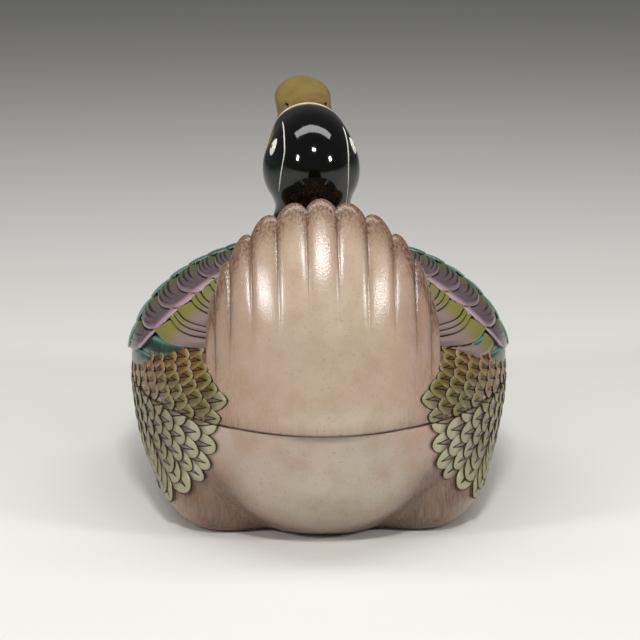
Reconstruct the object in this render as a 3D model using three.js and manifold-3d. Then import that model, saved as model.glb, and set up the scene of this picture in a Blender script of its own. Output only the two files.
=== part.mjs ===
// A covered serving dish in the shape of a resting duck, in glazed ceramic.
// The bowl is the lower body. The lid is the back, with wings, tail, neck, head and bill luted on.
// Units are millimetres. +Z is up, the duck looks along +Y, and the bowl stands on z = 0.
import * as THREE from "three";
import { mergeVertices } from "three/addons/utils/BufferGeometryUtils.js";
import Module from "manifold-3d";

const wasm = await Module();
wasm.setup();

// Body plan at the rim, where bowl and lid meet
const RIM_HALF_WIDTH = 114;
const RIM_BACK = 150;
const RIM_FRONT = 150;
const RIM_HEIGHT = 72;
const SEAM_GAP = 0.3;

// Bowl
const BASE_HALF_WIDTH = 91;
const BASE_BACK = 108;
const BASE_FRONT = 116;
const BOWL_BULGE = 1.75;
const BOWL_WALL = 6.5;
const BOWL_FLOOR = 9;
const FLOOR_INSET = 18;
const FOOT_WIDTH = 13;
const FOOT_RECESS = 2;

// Haunches: two low swellings at the back corners of the base, each above a crease
const HAUNCH_ANGLE = 41;
const HAUNCH_SPREAD = 15;
const HAUNCH_SWELL = 17;
const HAUNCH_HEIGHT = 50;
const HAUNCH_SLANT = 0.35;
const CREASE_ANGLE = 20;
const CREASE_SPREAD = 8;
const CREASE_DEPTH = 7;
const CREASE_SLANT = 0.6;

// Lid shell and its locating flange
const LID_RISE = 72;
const LID_BULGE = 2.2;
const LID_WALL = 6.5;
const FLANGE_DEPTH = 10;
const FLANGE_WALL = 5;
const FLANGE_CLEARANCE = 1.5;
const FLANGE_SEAT = 9;
const LUTE_GAP = 0.3;

// Tail fan, heights above the rim
const FAN_HALF_WIDTH = 69;
const FAN_RISE = 124.5;
const FAN_SHOULDER = 40;
const FAN_ROUNDNESS = 2;
const FAN_CROWN = 46;
const FAN_PROUD = 1.5;
const FAN_LEAN = 46;
const FAN_LEAN_MOST = 1.1;
const FAN_TURN = 30;
const FAN_ROOT = 6;
const FAN_ROOT_THICKNESS = 20;
const FAN_TIP_THICKNESS = 7;
const FAN_LOBES = 11;
const LOBE_NOTCH = 4.6;
const FLUTE_DEPTH = 2.2;
const FLUTE_REACH = 62;
const LOBE_ROUNDNESS = 0.7;
const FAN_EDGE_ROUNDING = 0.3;
const FAN_GROW = 1.7;

// Wings: coverts in front, a middle row, and long rear feathers, each row stepping down to the next
const WING_TIP_BACK = 104;
const WING_SHOULDER_FRONT = 72;
const WING_LOW_ANGLE = 3;
const WING_HIGH_ANGLE = 68;
const WING_THICKNESS = 4.4;
const WING_TOP_THICKNESS = 3;
const WING_FRONT_SHARE = 0.4;
const WING_ROW_LEAST = 0.2;
const WING_RIM_SHARE = 0.6;
const WING_LEAST_THICKNESS = 0.9;
const FEATHER_STEP = 0.8;
const FEATHER_CAMBER = 1.1;
const FEATHER_TIP_DEPTH = 4.5;
const WING_FEATHERS = 8;
const FEATHER_CROWDING = 0.9;
const FEATHER_LINES = [0, 0.3, 0.6, 0.8];
const FEATHER_PROFILE = [
  [0.04, 0.9],
  [0.35, 1],
  [0.65, 1],
  [0.93, 1],
  [1, 0.75],
];
const REAR_FEATHER_SHARE = 0.6;
const REAR_FEATHER_NOTCH = 3;
const REAR_FEATHER_SWEEP = 85;
const FEATHER_DROP = 7;
const FEATHER_BEND = 13;
const COVERT_END_LOW = -36;
const COVERT_END_HIGH = 24;
const COVERT_END_BOW = 0.6;
const MIDDLE_END = -52;
const MIDDLE_END_ANGLE = 22;
const MIDDLE_END_BOW = 0.022;
const WING_EDGE_BACK = -12;
const WING_EDGE_FRONT = 34;
const WING_TIP_PLACE = 0.43;
const WING_TIP_SPREAD = 0.36;
const WING_SHOULDER_ROUNDNESS = 2.6;

// Head and neck, heights above the rim
const HEAD_SIDE = 2;
const HEAD_FORWARD = 88;
const HEAD_RISE = 113.5;
const HEAD_YAW = 4.5;
const HEAD_PITCH = 22;
const SKULL_HALF_WIDTH = 27.5;
const SKULL_HALF_LENGTH = 37;
const SKULL_HALF_HEIGHT = 30;
const CHEEK_RADIUS = 16.5;
const CHEEK_SIDE = 14.5;
const CHEEK_DROP = 11;
const CHEEK_LENGTH = 1.5;
const CHEEK_HEIGHT = 1.15;
const FACE_FORWARD = 24;
const FACE_UP = 1;
const FACE_HALF_WIDTH = 20;
const FACE_HALF_LENGTH = 22;
const FACE_HALF_HEIGHT = 18.5;
const HEAD_BLEND = 9;
const NECK_RADIUS = 17;
const NECK_BASE_RADIUS = 42;
const NECK_BASE_FORWARD = 93;
const NECK_BASE_RISE = 32;
const NECK_BORE_RADIUS = 13;
const NECK_BORE_TAPER = 0.55;
const NECK_TOP_BACK = 3;
const NECK_TOP_DROP = 14;
const THROAT_DROP = 18;

// Bill
const BILL_ROOT = 26;
const BILL_TIP = 84;
const BILL_HALF_WIDTH = 19.5;
const BILL_ROOT_TOP = 19;
const BILL_TIP_TOP = 13;
const BILL_PARTING_ROOT = -3;
const BILL_PARTING_TIP = 6.5;
const BILL_ROOT_BOTTOM = -9;
const BILL_TIP_BOTTOM = 3.5;
const BILL_WAIST = 0.92;
const BILL_ROUND_END = 0.3;
const BILL_SAG = 0.75;
const BILL_END_SHARE = 0.985;
const BILL_END_CREST = 0.6;

// Eyes
const EYE_RADIUS = 6;
const EYE_FORWARD = -8;
const EYE_UP = 14.5;
const EYE_PROUD = 1.6;
const EYE_FLATNESS = 2;
const EYE_SINK = 0.6;

// Mesh fineness
const PLAN_STEPS = 60;
const BOWL_RINGS = 11;
const LID_RINGS = 11;
const FAN_STEPS_PER_LOBE = 6;
const FAN_ROWS = 12;
const RING_CROWDING = 1.6;
const HEAD_BANDS = 26;
const HEAD_SECTORS = 32;
const STAR_REACH = 110;
const SEEK_STEP = 0.05;
const BORE_STEPS = 10;
const BORE_SIDES = 20;
const BILL_STEPS = 12;
const BILL_SIDES = 14;

const ROW_CROWDING = 0.85;
const CUT_MARGIN = 1;
const SKIRT = 20;
const DOME_TOP_SHARE = 0.96;
const DOME_TOP_DROP = 0.02;

const LID_BASE = RIM_HEIGHT + SEAM_GAP;

const radians = THREE.MathUtils.degToRad;
const clamp = THREE.MathUtils.clamp;
const lerp = THREE.MathUtils.lerp;
const point = (x, y, z) => new THREE.Vector3(x, y, z);

// Triangles, as an array of corner points, made into a solid whose faces point out
function solidOf(triangles) {
  let volume = 0;
  for (const [a, b, c] of triangles) {
    volume += a.dot(b.clone().cross(c));
  }
  const corners = triangles.flatMap(([a, b, c]) => (volume < 0 ? [a, c, b] : [a, b, c]));
  return solidOfGeometry(new THREE.BufferGeometry().setFromPoints(corners));
}

function solidOfGeometry(geometry) {
  const bare = geometry.clone();
  bare.deleteAttribute("normal");
  bare.deleteAttribute("uv");
  const merged = mergeVertices(bare, 1e-4);
  const index = merged.index.array;
  const kept = [];
  for (let i = 0; i < index.length; i += 3) {
    const [a, b, c] = index.slice(i, i + 3);
    if (a !== b && b !== c && c !== a) kept.push(a, b, c);
  }
  const mesh = new wasm.Mesh({
    numProp: 3,
    vertProperties: new Float32Array(merged.attributes.position.array),
    triVerts: new Uint32Array(kept),
  });
  return new wasm.Manifold(mesh);
}

function geometryOf(solid) {
  const mesh = solid.getMesh();
  const places = new Float32Array(mesh.numVert * 3);
  for (let i = 0; i < mesh.numVert; i++) {
    places.set(mesh.vertProperties.subarray(i * mesh.numProp, i * mesh.numProp + 3), i * 3);
  }
  const geometry = new THREE.BufferGeometry();
  geometry.setAttribute("position", new THREE.BufferAttribute(places, 3));
  geometry.setIndex(new THREE.BufferAttribute(new Uint32Array(mesh.triVerts), 1));
  const flat = geometry.toNonIndexed();
  flat.computeVertexNormals();
  return flat;
}

// Two triangles for the four corners of a quad, in order round it
function quad(a, b, c, d) {
  return [
    [a, b, c],
    [a, c, d],
  ];
}

// A solid skinned over closed rings of points; its first and last rings are closed by a flat fan
function ringSolid(rings) {
  const triangles = [];
  const around = (ring, j) => ring[(j + ring.length) % ring.length];
  for (let i = 0; i + 1 < rings.length; i++) {
    for (let j = 0; j < rings[i].length; j++) {
      const [near, far] = [rings[i], rings[i + 1]];
      triangles.push(...quad(around(near, j), around(near, j + 1), around(far, j + 1), around(far, j)));
    }
  }
  const cap = (ring, flip) => {
    const middle = ring.reduce((sum, p) => sum.add(p), point(0, 0, 0)).divideScalar(ring.length);
    ring.forEach((p, j) => {
      const next = around(ring, j + 1);
      triangles.push(flip ? [middle, next, p] : [middle, p, next]);
    });
  };
  cap(rings[0], true);
  cap(rings.at(-1), false);
  return solidOf(triangles);
}

// A ring-shaped solid skinned over closed rings, the last joined to the first
function hoopSolid(rings) {
  const triangles = [];
  rings.forEach((near, i) => {
    const far = rings[(i + 1) % rings.length];
    near.forEach((p, j) => {
      const k = (j + 1) % near.length;
      triangles.push(...quad(p, near[k], far[k], far[j]));
    });
  });
  return solidOf(triangles);
}

// A plate between two grids of points that match row by row
function plateSolid(outer, inner) {
  const triangles = [];
  const rows = outer.length - 1;
  const columns = outer[0].length - 1;
  for (let i = 0; i < rows; i++) {
    for (let j = 0; j < columns; j++) {
      triangles.push(...quad(outer[i][j], outer[i][j + 1], outer[i + 1][j + 1], outer[i + 1][j]));
      triangles.push(...quad(inner[i][j], inner[i + 1][j], inner[i + 1][j + 1], inner[i][j + 1]));
    }
    triangles.push(...quad(outer[i][0], outer[i + 1][0], inner[i + 1][0], inner[i][0]));
    triangles.push(
      ...quad(outer[i + 1][columns], outer[i][columns], inner[i][columns], inner[i + 1][columns]),
    );
  }
  for (let j = 0; j < columns; j++) {
    triangles.push(...quad(outer[0][j + 1], outer[0][j], inner[0][j], inner[0][j + 1]));
    triangles.push(...quad(outer[rows][j], outer[rows][j + 1], inner[rows][j + 1], inner[rows][j]));
  }
  return solidOf(triangles);
}

// One ring of the body's plan: an ellipse whose back and front halves have their own lengths
function planRing(halfWidth, back, front, z) {
  const ring = [];
  for (let j = 0; j < PLAN_STEPS; j++) {
    const angle = (2 * Math.PI * j) / PLAN_STEPS;
    const length = Math.sin(angle) < 0 ? back : front;
    ring.push(point(halfWidth * Math.cos(angle), length * Math.sin(angle), z));
  }
  return ring;
}

// The rim's plan drawn in by an inset
const rimRing = (inset, z) => planRing(RIM_HALF_WIDTH - inset, RIM_BACK - inset, RIM_FRONT - inset, z);

const bump = (t) => Math.exp(-t * t);
const fade = (t) => (t < 1 ? (1 - t * t) ** 2 : 0);

// How far the haunches and their creases move a plan point outward
function haunchSwell(angle, z) {
  const fromBack = Math.abs(THREE.MathUtils.radToDeg(angle) - 270);
  const haunch = (fromBack - HAUNCH_ANGLE - HAUNCH_SLANT * z) / HAUNCH_SPREAD;
  const crease = (fromBack - CREASE_ANGLE - CREASE_SLANT * z) / CREASE_SPREAD;
  return (HAUNCH_SWELL * bump(haunch) - CREASE_DEPTH * bump(crease)) * fade(z / HAUNCH_HEIGHT);
}

// A bowl wall's spread from its base plan to its rim plan, rounded like a quarter of an ellipse
const wallSpread = (t) => (1 - (1 - t) ** BOWL_BULGE) ** (1 / BOWL_BULGE);

function bowlRing(base, rim, t, z, swell) {
  return base.map((p, j) => {
    const angle = (2 * Math.PI * j) / PLAN_STEPS;
    const place = p.clone().lerp(rim[j], wallSpread(t)).setZ(z);
    const out = point(place.x, place.y, 0).normalize();
    return place.addScaledVector(out, swell(angle, z));
  });
}

function bowlSolid() {
  const base = planRing(BASE_HALF_WIDTH, BASE_BACK, BASE_FRONT, 0);
  const outside = [];
  for (let i = 0; i <= BOWL_RINGS; i++) {
    const t = (i / BOWL_RINGS) ** RING_CROWDING;
    outside.push(bowlRing(base, rimRing(0, 0), t, RIM_HEIGHT * t, haunchSwell));
  }
  const floor = planRing(
    BASE_HALF_WIDTH - FLOOR_INSET,
    BASE_BACK - FLOOR_INSET,
    BASE_FRONT - FLOOR_INSET,
    BOWL_FLOOR,
  );
  const inside = [];
  for (let i = 0; i <= BOWL_RINGS; i++) {
    const t = (i / BOWL_RINGS) ** RING_CROWDING;
    const z = lerp(BOWL_FLOOR, RIM_HEIGHT, t);
    inside.push(bowlRing(floor, rimRing(BOWL_WALL, 0), t, z, () => 0));
  }
  inside.push(rimRing(BOWL_WALL, RIM_HEIGHT + CUT_MARGIN));
  const recess = [-CUT_MARGIN, FOOT_RECESS].map((z) =>
    planRing(
      BASE_HALF_WIDTH - FOOT_WIDTH,
      BASE_BACK - FOOT_WIDTH - CREASE_DEPTH,
      BASE_FRONT - FOOT_WIDTH,
      z,
    ),
  );
  return ringSolid(outside).subtract(ringSolid(inside)).subtract(ringSolid(recess));
}

// The lid's domed surface, grown outward or drawn in by an offset and carried down as a skirt
function domeSolid(grow, skirt) {
  const rings = [planRing(RIM_HALF_WIDTH + grow, RIM_BACK + grow, RIM_FRONT + grow, LID_BASE - skirt)];
  for (let i = 0; i < LID_RINGS; i++) {
    const angle = (Math.PI / 2) * (i / LID_RINGS);
    const inward = Math.cos(angle) ** (2 / LID_BULGE);
    const z = LID_BASE + (LID_RISE + grow) * Math.sin(angle) ** (2 / LID_BULGE);
    if (i || skirt > 0) {
      rings.push(
        planRing(
          (RIM_HALF_WIDTH + grow) * inward,
          (RIM_BACK + grow) * inward,
          (RIM_FRONT + grow) * inward,
          z,
        ),
      );
    }
  }
  const top = point(0, 0, LID_BASE + LID_RISE + grow);
  rings.push(rings.at(-1).map((p) => p.clone().lerp(top, DOME_TOP_SHARE).setZ(top.z - DOME_TOP_DROP)));
  return ringSolid(rings);
}

// Distance from the lid's long axis to its grown surface, at a place along it and an angle round it
function domeRadius(y, angle, grow) {
  const length = (y < 0 ? RIM_BACK : RIM_FRONT) + grow;
  const outside = (r) => {
    const plan = Math.hypot((r * Math.cos(angle)) / (RIM_HALF_WIDTH + grow), y / length);
    const rise = (r * Math.sin(angle)) / (LID_RISE + grow);
    return plan ** LID_BULGE + rise ** LID_BULGE > 1;
  };
  let low = 0;
  let high = RIM_HALF_WIDTH + LID_RISE;
  for (let i = 0; i < 40; i++) {
    const middle = (low + high) / 2;
    if (outside(middle)) high = middle;
    else low = middle;
  }
  return low;
}

// The flange inside the bowl's mouth: a lower band clear of the bowl, an upper one against the lid
function flangeSolid() {
  const clear = BOWL_WALL + FLANGE_CLEARANCE;
  const seat = LID_WALL;
  const inner = clear + FLANGE_WALL;
  const profile = [
    [clear, LID_BASE - FLANGE_DEPTH],
    [clear, LID_BASE + CUT_MARGIN],
    [seat, LID_BASE + CUT_MARGIN + clear - seat],
    [seat, LID_BASE + FLANGE_SEAT],
    [inner, LID_BASE + FLANGE_SEAT],
    [inner, LID_BASE - FLANGE_DEPTH],
  ];
  const bed = domeSolid(-LID_WALL - LUTE_GAP, FLANGE_DEPTH + CUT_MARGIN);
  return hoopSolid(profile.map(([inset, z]) => rimRing(inset, z))).intersect(bed);
}

// The tail fan: an upright shell, round towards the back, with upright flutes that end in lobes
function fanSolid(grow) {
  const lobeAngle = Math.PI / FAN_LOBES;
  const columns = FAN_LOBES * FAN_STEPS_PER_LOBE;
  const [rear, front] = [[], []];
  for (let j = 0; j <= columns; j++) {
    const turn = -Math.PI / 2 + (Math.PI * j) / columns;
    const across = Math.sin(turn);
    const lobe = Math.abs(Math.cos((Math.PI * turn) / lobeAngle)) ** LOBE_ROUNDNESS;
    const outline = (1 - Math.abs(across) ** FAN_ROUNDNESS) ** (1 / FAN_ROUNDNESS);
    const edge = FAN_SHOULDER + (FAN_RISE - FAN_SHOULDER) * outline - LOBE_NOTCH * (1 - lobe) + grow;
    const x = (FAN_HALF_WIDTH + grow) * across;
    const [back, face] = [[], []];
    for (let i = 0; i <= FAN_ROWS; i++) {
      const height = lerp(FAN_ROOT - grow, edge, (i / FAN_ROWS) ** ROW_CROWDING);
      const lean = clamp((height - FAN_TURN) / (FAN_RISE - FAN_TURN), 0, FAN_LEAN_MOST);
      const fluted = clamp(1 - (edge - height) / FLUTE_REACH, 0, 1);
      const hollow = FLUTE_DEPTH * (1 - lobe) * fluted;
      const crown = FAN_CROWN * (x / FAN_HALF_WIDTH) ** 2;
      const y = -(RIM_BACK + FAN_PROUD) + FAN_LEAN * lean ** 2 + crown + hollow;
      const thickness = lerp(FAN_ROOT_THICKNESS, FAN_TIP_THICKNESS, clamp(height / FAN_RISE, 0, 1));
      const rounding = i === FAN_ROWS ? FAN_EDGE_ROUNDING * thickness : 0;
      const z = LID_BASE + height;
      const width = thickness - hollow - rounding;
      back.push(point(x, y + rounding - FAN_GROW * grow, z));
      face.push(point(x, y + width + FAN_GROW * grow, z));
    }
    rear.push(back);
    front.push(face);
  }
  return plateSolid(rear, front);
}

// The ends of the wing along the body for each angle round it: a pointed leaf, tip to the back
function wingEnds(u) {
  const least = bump((1 - WING_TIP_PLACE) / WING_TIP_SPREAD);
  const tip = (bump((u - WING_TIP_PLACE) / WING_TIP_SPREAD) - least) / (1 - least);
  const shoulder = 1 - Math.abs(2 * u - 1) ** WING_SHOULDER_ROUNDNESS;
  const front = lerp(WING_EDGE_FRONT, WING_SHOULDER_FRONT, shoulder ** (1 / WING_SHOULDER_ROUNDNESS));
  return [-lerp(WING_EDGE_BACK, WING_TIP_BACK, tip), front];
}

// 1 at the middle of a feather, 0 in the grooves at its sides
const crown = (across) => 1 - (2 * across - 1) ** 2;

// A line down the wing between or along feathers, from its place across the wing: where the coverts
// and the middle row end on it, where it ends, and its angle round the lid at each y
function wingLine(u) {
  const base = lerp(WING_LOW_ANGLE, WING_HIGH_ANGLE, u);
  const rise = REAR_FEATHER_SWEEP * u * (1 - u) ** 3;
  const drop = FEATHER_DROP * Math.sqrt(Math.sin(Math.PI * u));
  const covertEnd = lerp(COVERT_END_LOW, COVERT_END_HIGH, u ** COVERT_END_BOW);
  const middleEnd = MIDDLE_END + MIDDLE_END_BOW * (base - MIDDLE_END_ANGLE) ** 2;
  const endShare = (base + rise - WING_LOW_ANGLE) / (WING_HIGH_ANGLE - WING_LOW_ANGLE);
  const [back, front] = [wingEnds(endShare)[0], wingEnds(u)[1]];
  const angleAt = (y) => {
    if (y > middleEnd) return radians(base - drop * (1 - Math.exp((middleEnd - y) / FEATHER_BEND)));
    return radians(base + rise * ((middleEnd - y) / (middleEnd - back)) ** 2);
  };
  return { covertEnd, middleEnd, back, front, angleAt };
}

// A wing: its outer face follows the lid in feathers with raised middles, row over row
function wingSolid(side) {
  const perFeather = FEATHER_LINES.length;
  const lines = WING_FEATHERS * perFeather;
  const [outer, inner] = [[], []];
  for (let j = 0; j <= lines; j++) {
    const across = FEATHER_LINES[j % perFeather];
    const u = ((Math.floor(j / perFeather) + across) / WING_FEATHERS) ** FEATHER_CROWDING;
    const line = wingLine(u);
    const depth = lerp(WING_THICKNESS, WING_TOP_THICKNESS, u);
    const wide = crown(across);
    const long =
      across < REAR_FEATHER_SHARE
        ? crown(across / REAR_FEATHER_SHARE)
        : crown((across - REAR_FEATHER_SHARE) / (1 - REAR_FEATHER_SHARE));
    const front = line.front;
    const back = line.back + REAR_FEATHER_NOTCH * (1 - long);
    const least = WING_ROW_LEAST * (front - back);
    const middleEnd = Math.max(line.middleEnd - FEATHER_TIP_DEPTH * wide, back + least);
    const covertEnd = Math.max(line.covertEnd - FEATHER_TIP_DEPTH * wide, middleEnd + least);
    const places = [front, covertEnd, middleEnd, back];
    const rows = [[front, WING_FRONT_SHARE, 0]];
    for (let row = 0; row < 3; row++) {
      for (const [t, swell] of FEATHER_PROFILE) {
        rows.push([lerp(places[row], places[row + 1], t), swell, row]);
      }
    }
    const [skin, bed] = [[], []];
    for (const [y, swell, row] of rows) {
      const rim = clamp(Math.min(j, lines - j) / 2, WING_RIM_SHARE, 1);
      const groove = FEATHER_CAMBER * (1 - (row < 2 ? wide : long));
      const thickness = Math.max((depth - FEATHER_STEP * row - groove) * swell * rim, WING_LEAST_THICKNESS);
      const angle = line.angleAt(y);
      const at = (grow) => {
        const r = domeRadius(y, angle, grow);
        return point(side * r * Math.cos(angle), y, LID_BASE + r * Math.sin(angle));
      };
      skin.push(at(LUTE_GAP + thickness));
      bed.push(at(-LID_WALL / 2));
    }
    outer.push(skin);
    inner.push(bed);
  }
  return plateSolid(outer, inner);
}

// The head's own frame: turned a little to the left and tipped up
const headFrame = new THREE.Matrix4()
  .makeTranslation(-HEAD_SIDE, HEAD_FORWARD, LID_BASE + HEAD_RISE)
  .multiply(new THREE.Matrix4().makeRotationZ(radians(HEAD_YAW)))
  .multiply(new THREE.Matrix4().makeRotationX(radians(HEAD_PITCH)));
const toHead = headFrame.clone().invert();
const headMiddle = point(0, 0, 0).applyMatrix4(headFrame);
const neckFoot = point(0, NECK_BASE_FORWARD, LID_BASE + NECK_BASE_RISE);
const neckTop = headMiddle.clone().add(point(0, -NECK_TOP_BACK, -NECK_TOP_DROP));

// Signed distance to an ellipsoid, near enough close to its surface
function ellipsoid(p, middle, radii) {
  const scaled = p.clone().sub(middle).divide(radii);
  const k0 = scaled.length();
  const k1 = scaled.clone().divide(radii).length();
  return k1 > 0 ? (k0 * (k0 - 1)) / k1 : -Math.min(radii.x, radii.y, radii.z);
}

// Distance to a tapering round limb from one ball to another
function limb(p, a, b, radiusA, radiusB) {
  const axis = b.clone().sub(a);
  const t = clamp(p.clone().sub(a).dot(axis) / axis.lengthSq(), 0, 1);
  return p.distanceTo(a.clone().addScaledVector(axis, t)) - lerp(radiusA, radiusB, t);
}

// Two distances joined with a rounded hollow between them
function blend(a, b, size) {
  const h = clamp(0.5 + (b - a) / (2 * size), 0, 1);
  return lerp(b, a, h) - size * h * (1 - h);
}

function headDistance(p) {
  const q = p.clone().applyMatrix4(toHead);
  const mirrored = point(Math.abs(q.x), q.y, q.z);
  const skull = ellipsoid(q, point(0, 0, 0), point(SKULL_HALF_WIDTH, SKULL_HALF_LENGTH, SKULL_HALF_HEIGHT));
  const cheek = ellipsoid(
    mirrored,
    point(CHEEK_SIDE, 0, -CHEEK_DROP),
    point(CHEEK_RADIUS, CHEEK_RADIUS * CHEEK_LENGTH, CHEEK_RADIUS * CHEEK_HEIGHT),
  );
  const face = ellipsoid(
    q,
    point(0, FACE_FORWARD, FACE_UP),
    point(FACE_HALF_WIDTH, FACE_HALF_LENGTH, FACE_HALF_HEIGHT),
  );
  const neck = limb(p, neckFoot, neckTop, NECK_BASE_RADIUS, NECK_RADIUS);
  return [cheek, face, neck].reduce((joined, form) => blend(joined, form, HEAD_BLEND), skull);
}

// A solid whose surface is seen whole from one middle point, found along rays from it
function starSolid(middle, distance) {
  const hit = (direction) => {
    let outer = STAR_REACH;
    while (outer > 0 && distance(middle.clone().addScaledVector(direction, outer)) > 0) outer -= 2;
    let [low, high] = [outer, outer + 2];
    for (let i = 0; i < 20; i++) {
      const between = (low + high) / 2;
      if (distance(middle.clone().addScaledVector(direction, between)) > 0) high = between;
      else low = between;
    }
    return middle.clone().addScaledVector(direction, low);
  };
  const rings = [];
  for (let i = 1; i < HEAD_BANDS; i++) {
    const polar = (Math.PI * i) / HEAD_BANDS;
    const ring = [];
    for (let j = 0; j < HEAD_SECTORS; j++) {
      const turn = (2 * Math.PI * j) / HEAD_SECTORS;
      const direction = point(
        Math.sin(polar) * Math.cos(turn),
        Math.sin(polar) * Math.sin(turn),
        -Math.cos(polar),
      );
      ring.push(hit(direction));
    }
    rings.push(ring);
  }
  const triangles = [];
  for (let i = 0; i + 1 < rings.length; i++) {
    for (let j = 0; j < HEAD_SECTORS; j++) {
      const k = (j + 1) % HEAD_SECTORS;
      triangles.push(...quad(rings[i][j], rings[i][k], rings[i + 1][k], rings[i + 1][j]));
    }
  }
  const [bottom, top] = [hit(point(0, 0, -1)), hit(point(0, 0, 1))];
  for (let j = 0; j < HEAD_SECTORS; j++) {
    const k = (j + 1) % HEAD_SECTORS;
    triangles.push([bottom, rings[0][k], rings[0][j]]);
    triangles.push([top, rings.at(-1)[j], rings.at(-1)[k]]);
  }
  return solidOf(triangles);
}

// The throat, from which all of the head and the neck can be seen
const throat = headMiddle.clone().add(point(0, 0, -THROAT_DROP));
const headBody = (grow) => starSolid(throat, (p) => headDistance(p) - grow);

// The hollow up the neck, open into the lid, that keeps the clay from bursting in the kiln
function neckBoreSolid() {
  const foot = neckFoot.clone().add(point(0, 0, -NECK_BASE_RISE / 2));
  const path = new THREE.CatmullRomCurve3([foot, neckFoot, neckTop, headMiddle]);
  const rings = [];
  for (let i = 0; i <= BORE_STEPS; i++) {
    const middle = path.getPoint(i / BORE_STEPS);
    const radius = NECK_BORE_RADIUS * (i === BORE_STEPS ? NECK_BORE_TAPER : 1);
    const ring = [];
    for (let j = 0; j < BORE_SIDES; j++) {
      const turn = (2 * Math.PI * j) / BORE_SIDES;
      ring.push(middle.clone().add(point(radius * Math.cos(turn), radius * Math.sin(turn), 0)));
    }
    rings.push(ring);
  }
  return ringSolid(rings);
}

// One mandible, lofted along the head's forward axis: a flat parting face and a rounded crest
function billSolid(crestRoot, crestTip, parting) {
  const rings = [];
  for (let i = 0; i <= BILL_STEPS; i++) {
    const s = Math.sin((Math.PI / 2) * (i / BILL_STEPS));
    const y = lerp(BILL_ROOT, BILL_TIP, s);
    const end = clamp((s - 1 + BILL_ROUND_END) / BILL_ROUND_END, 0, BILL_END_SHARE);
    const halfWidth = BILL_HALF_WIDTH * lerp(BILL_WAIST, 1, Math.abs(2 * s - 1)) * Math.sqrt(1 - end ** 2);
    const meet = lerp(BILL_PARTING_ROOT, BILL_PARTING_TIP, s) + parting;
    const crest = (lerp(crestRoot, crestTip, s ** BILL_SAG) - meet) * (i === BILL_STEPS ? BILL_END_CREST : 1);
    const ring = [];
    for (let j = 0; j <= BILL_SIDES; j++) {
      const turn = (Math.PI * j) / BILL_SIDES;
      const up = Math.sin(turn) ** BILL_SAG;
      ring.push(point(halfWidth * Math.cos(turn), y, meet + crest * up).applyMatrix4(headFrame));
    }
    rings.push(ring);
  }
  return ringSolid(rings);
}

// An eye: a low glazed bead, square to the side of the head
function eyeSolid(side) {
  const place = point(0, EYE_FORWARD, EYE_UP);
  while (headDistance(place.clone().applyMatrix4(headFrame)) < 0) place.x += side * SEEK_STEP;
  const seat = place.applyMatrix4(headFrame);
  const rise = (x, y, z) => headDistance(seat.clone().add(point(x, y, z))) - headDistance(seat);
  const outward = point(rise(SEEK_STEP, 0, 0), rise(0, SEEK_STEP, 0), rise(0, 0, SEEK_STEP)).normalize();
  const bead = new THREE.SphereGeometry(EYE_RADIUS, 20, 12);
  bead.scale((EYE_FLATNESS * EYE_PROUD) / EYE_RADIUS, 1, 1);
  bead.applyQuaternion(new THREE.Quaternion().setFromUnitVectors(point(1, 0, 0), outward));
  const centre = seat.addScaledVector(outward, -EYE_SINK * EYE_PROUD);
  bead.translate(centre.x, centre.y, centre.z);
  return solidOfGeometry(bead);
}

const lidOutside = domeSolid(0, 0);
const lidGrown = domeSolid(LUTE_GAP, SKIRT);
const neckBore = neckBoreSolid();
const headGrown = headBody(LUTE_GAP);
const tailGrown = fanSolid(LUTE_GAP);

const solids = {
  bowl: bowlSolid(),
  lid_shell: lidOutside.subtract(domeSolid(-LID_WALL, SKIRT)).subtract(neckBore),
  lid_flange: flangeSolid(),
  tail_fan: fanSolid(0).subtract(lidGrown),
  left_wing: wingSolid(-1).subtract(lidGrown).subtract(tailGrown).subtract(headGrown),
  right_wing: wingSolid(1).subtract(lidGrown).subtract(tailGrown).subtract(headGrown),
  head_and_neck: headBody(0).subtract(lidGrown).subtract(neckBore),
  upper_bill: billSolid(BILL_ROOT_TOP, BILL_TIP_TOP, LUTE_GAP / 2).subtract(headGrown),
  lower_bill: billSolid(BILL_ROOT_BOTTOM, BILL_TIP_BOTTOM, -LUTE_GAP / 2).subtract(headGrown),
  left_eye: eyeSolid(-1).subtract(headGrown),
  right_eye: eyeSolid(1).subtract(headGrown),
};

const glaze = (color, roughness = 0.25) => new THREE.MeshStandardMaterial({ color, roughness, metalness: 0 });
const bodyGlaze = glaze("#c7a48c");
const wingGlaze = glaze("#8f8a6c");
const headGlaze = glaze("#161c17", 0.12);
const billGlaze = glaze("#9c8a4e");
const eyeGlaze = glaze("#e8e6dc", 0.15);
const bareClay = glaze("#cdb59a", 0.85);
const finishes = {
  bowl: bodyGlaze,
  lid_shell: bodyGlaze,
  lid_flange: bareClay,
  tail_fan: bodyGlaze,
  left_wing: wingGlaze,
  right_wing: wingGlaze,
  head_and_neck: headGlaze,
  upper_bill: billGlaze,
  lower_bill: billGlaze,
  left_eye: eyeGlaze,
  right_eye: eyeGlaze,
};

const duck = new THREE.Group();
for (const [name, solid] of Object.entries(solids)) {
  const mesh = new THREE.Mesh(geometryOf(solid), finishes[name]);
  mesh.name = name;
  duck.add(mesh);
}

// The origin lies on the table under the middle of the whole dish
const middle = new THREE.Box3().setFromObject(duck).getCenter(point(0, 0, 0));
duck.position.set(-middle.x, -middle.y, 0);

export default duck;
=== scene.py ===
import math
from functools import partial
from types import SimpleNamespace

import bmesh
import bpy
import numpy as np
from bpy.props import FloatProperty, FloatVectorProperty, IntProperty, PointerProperty
from mathutils import Matrix, Vector


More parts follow.
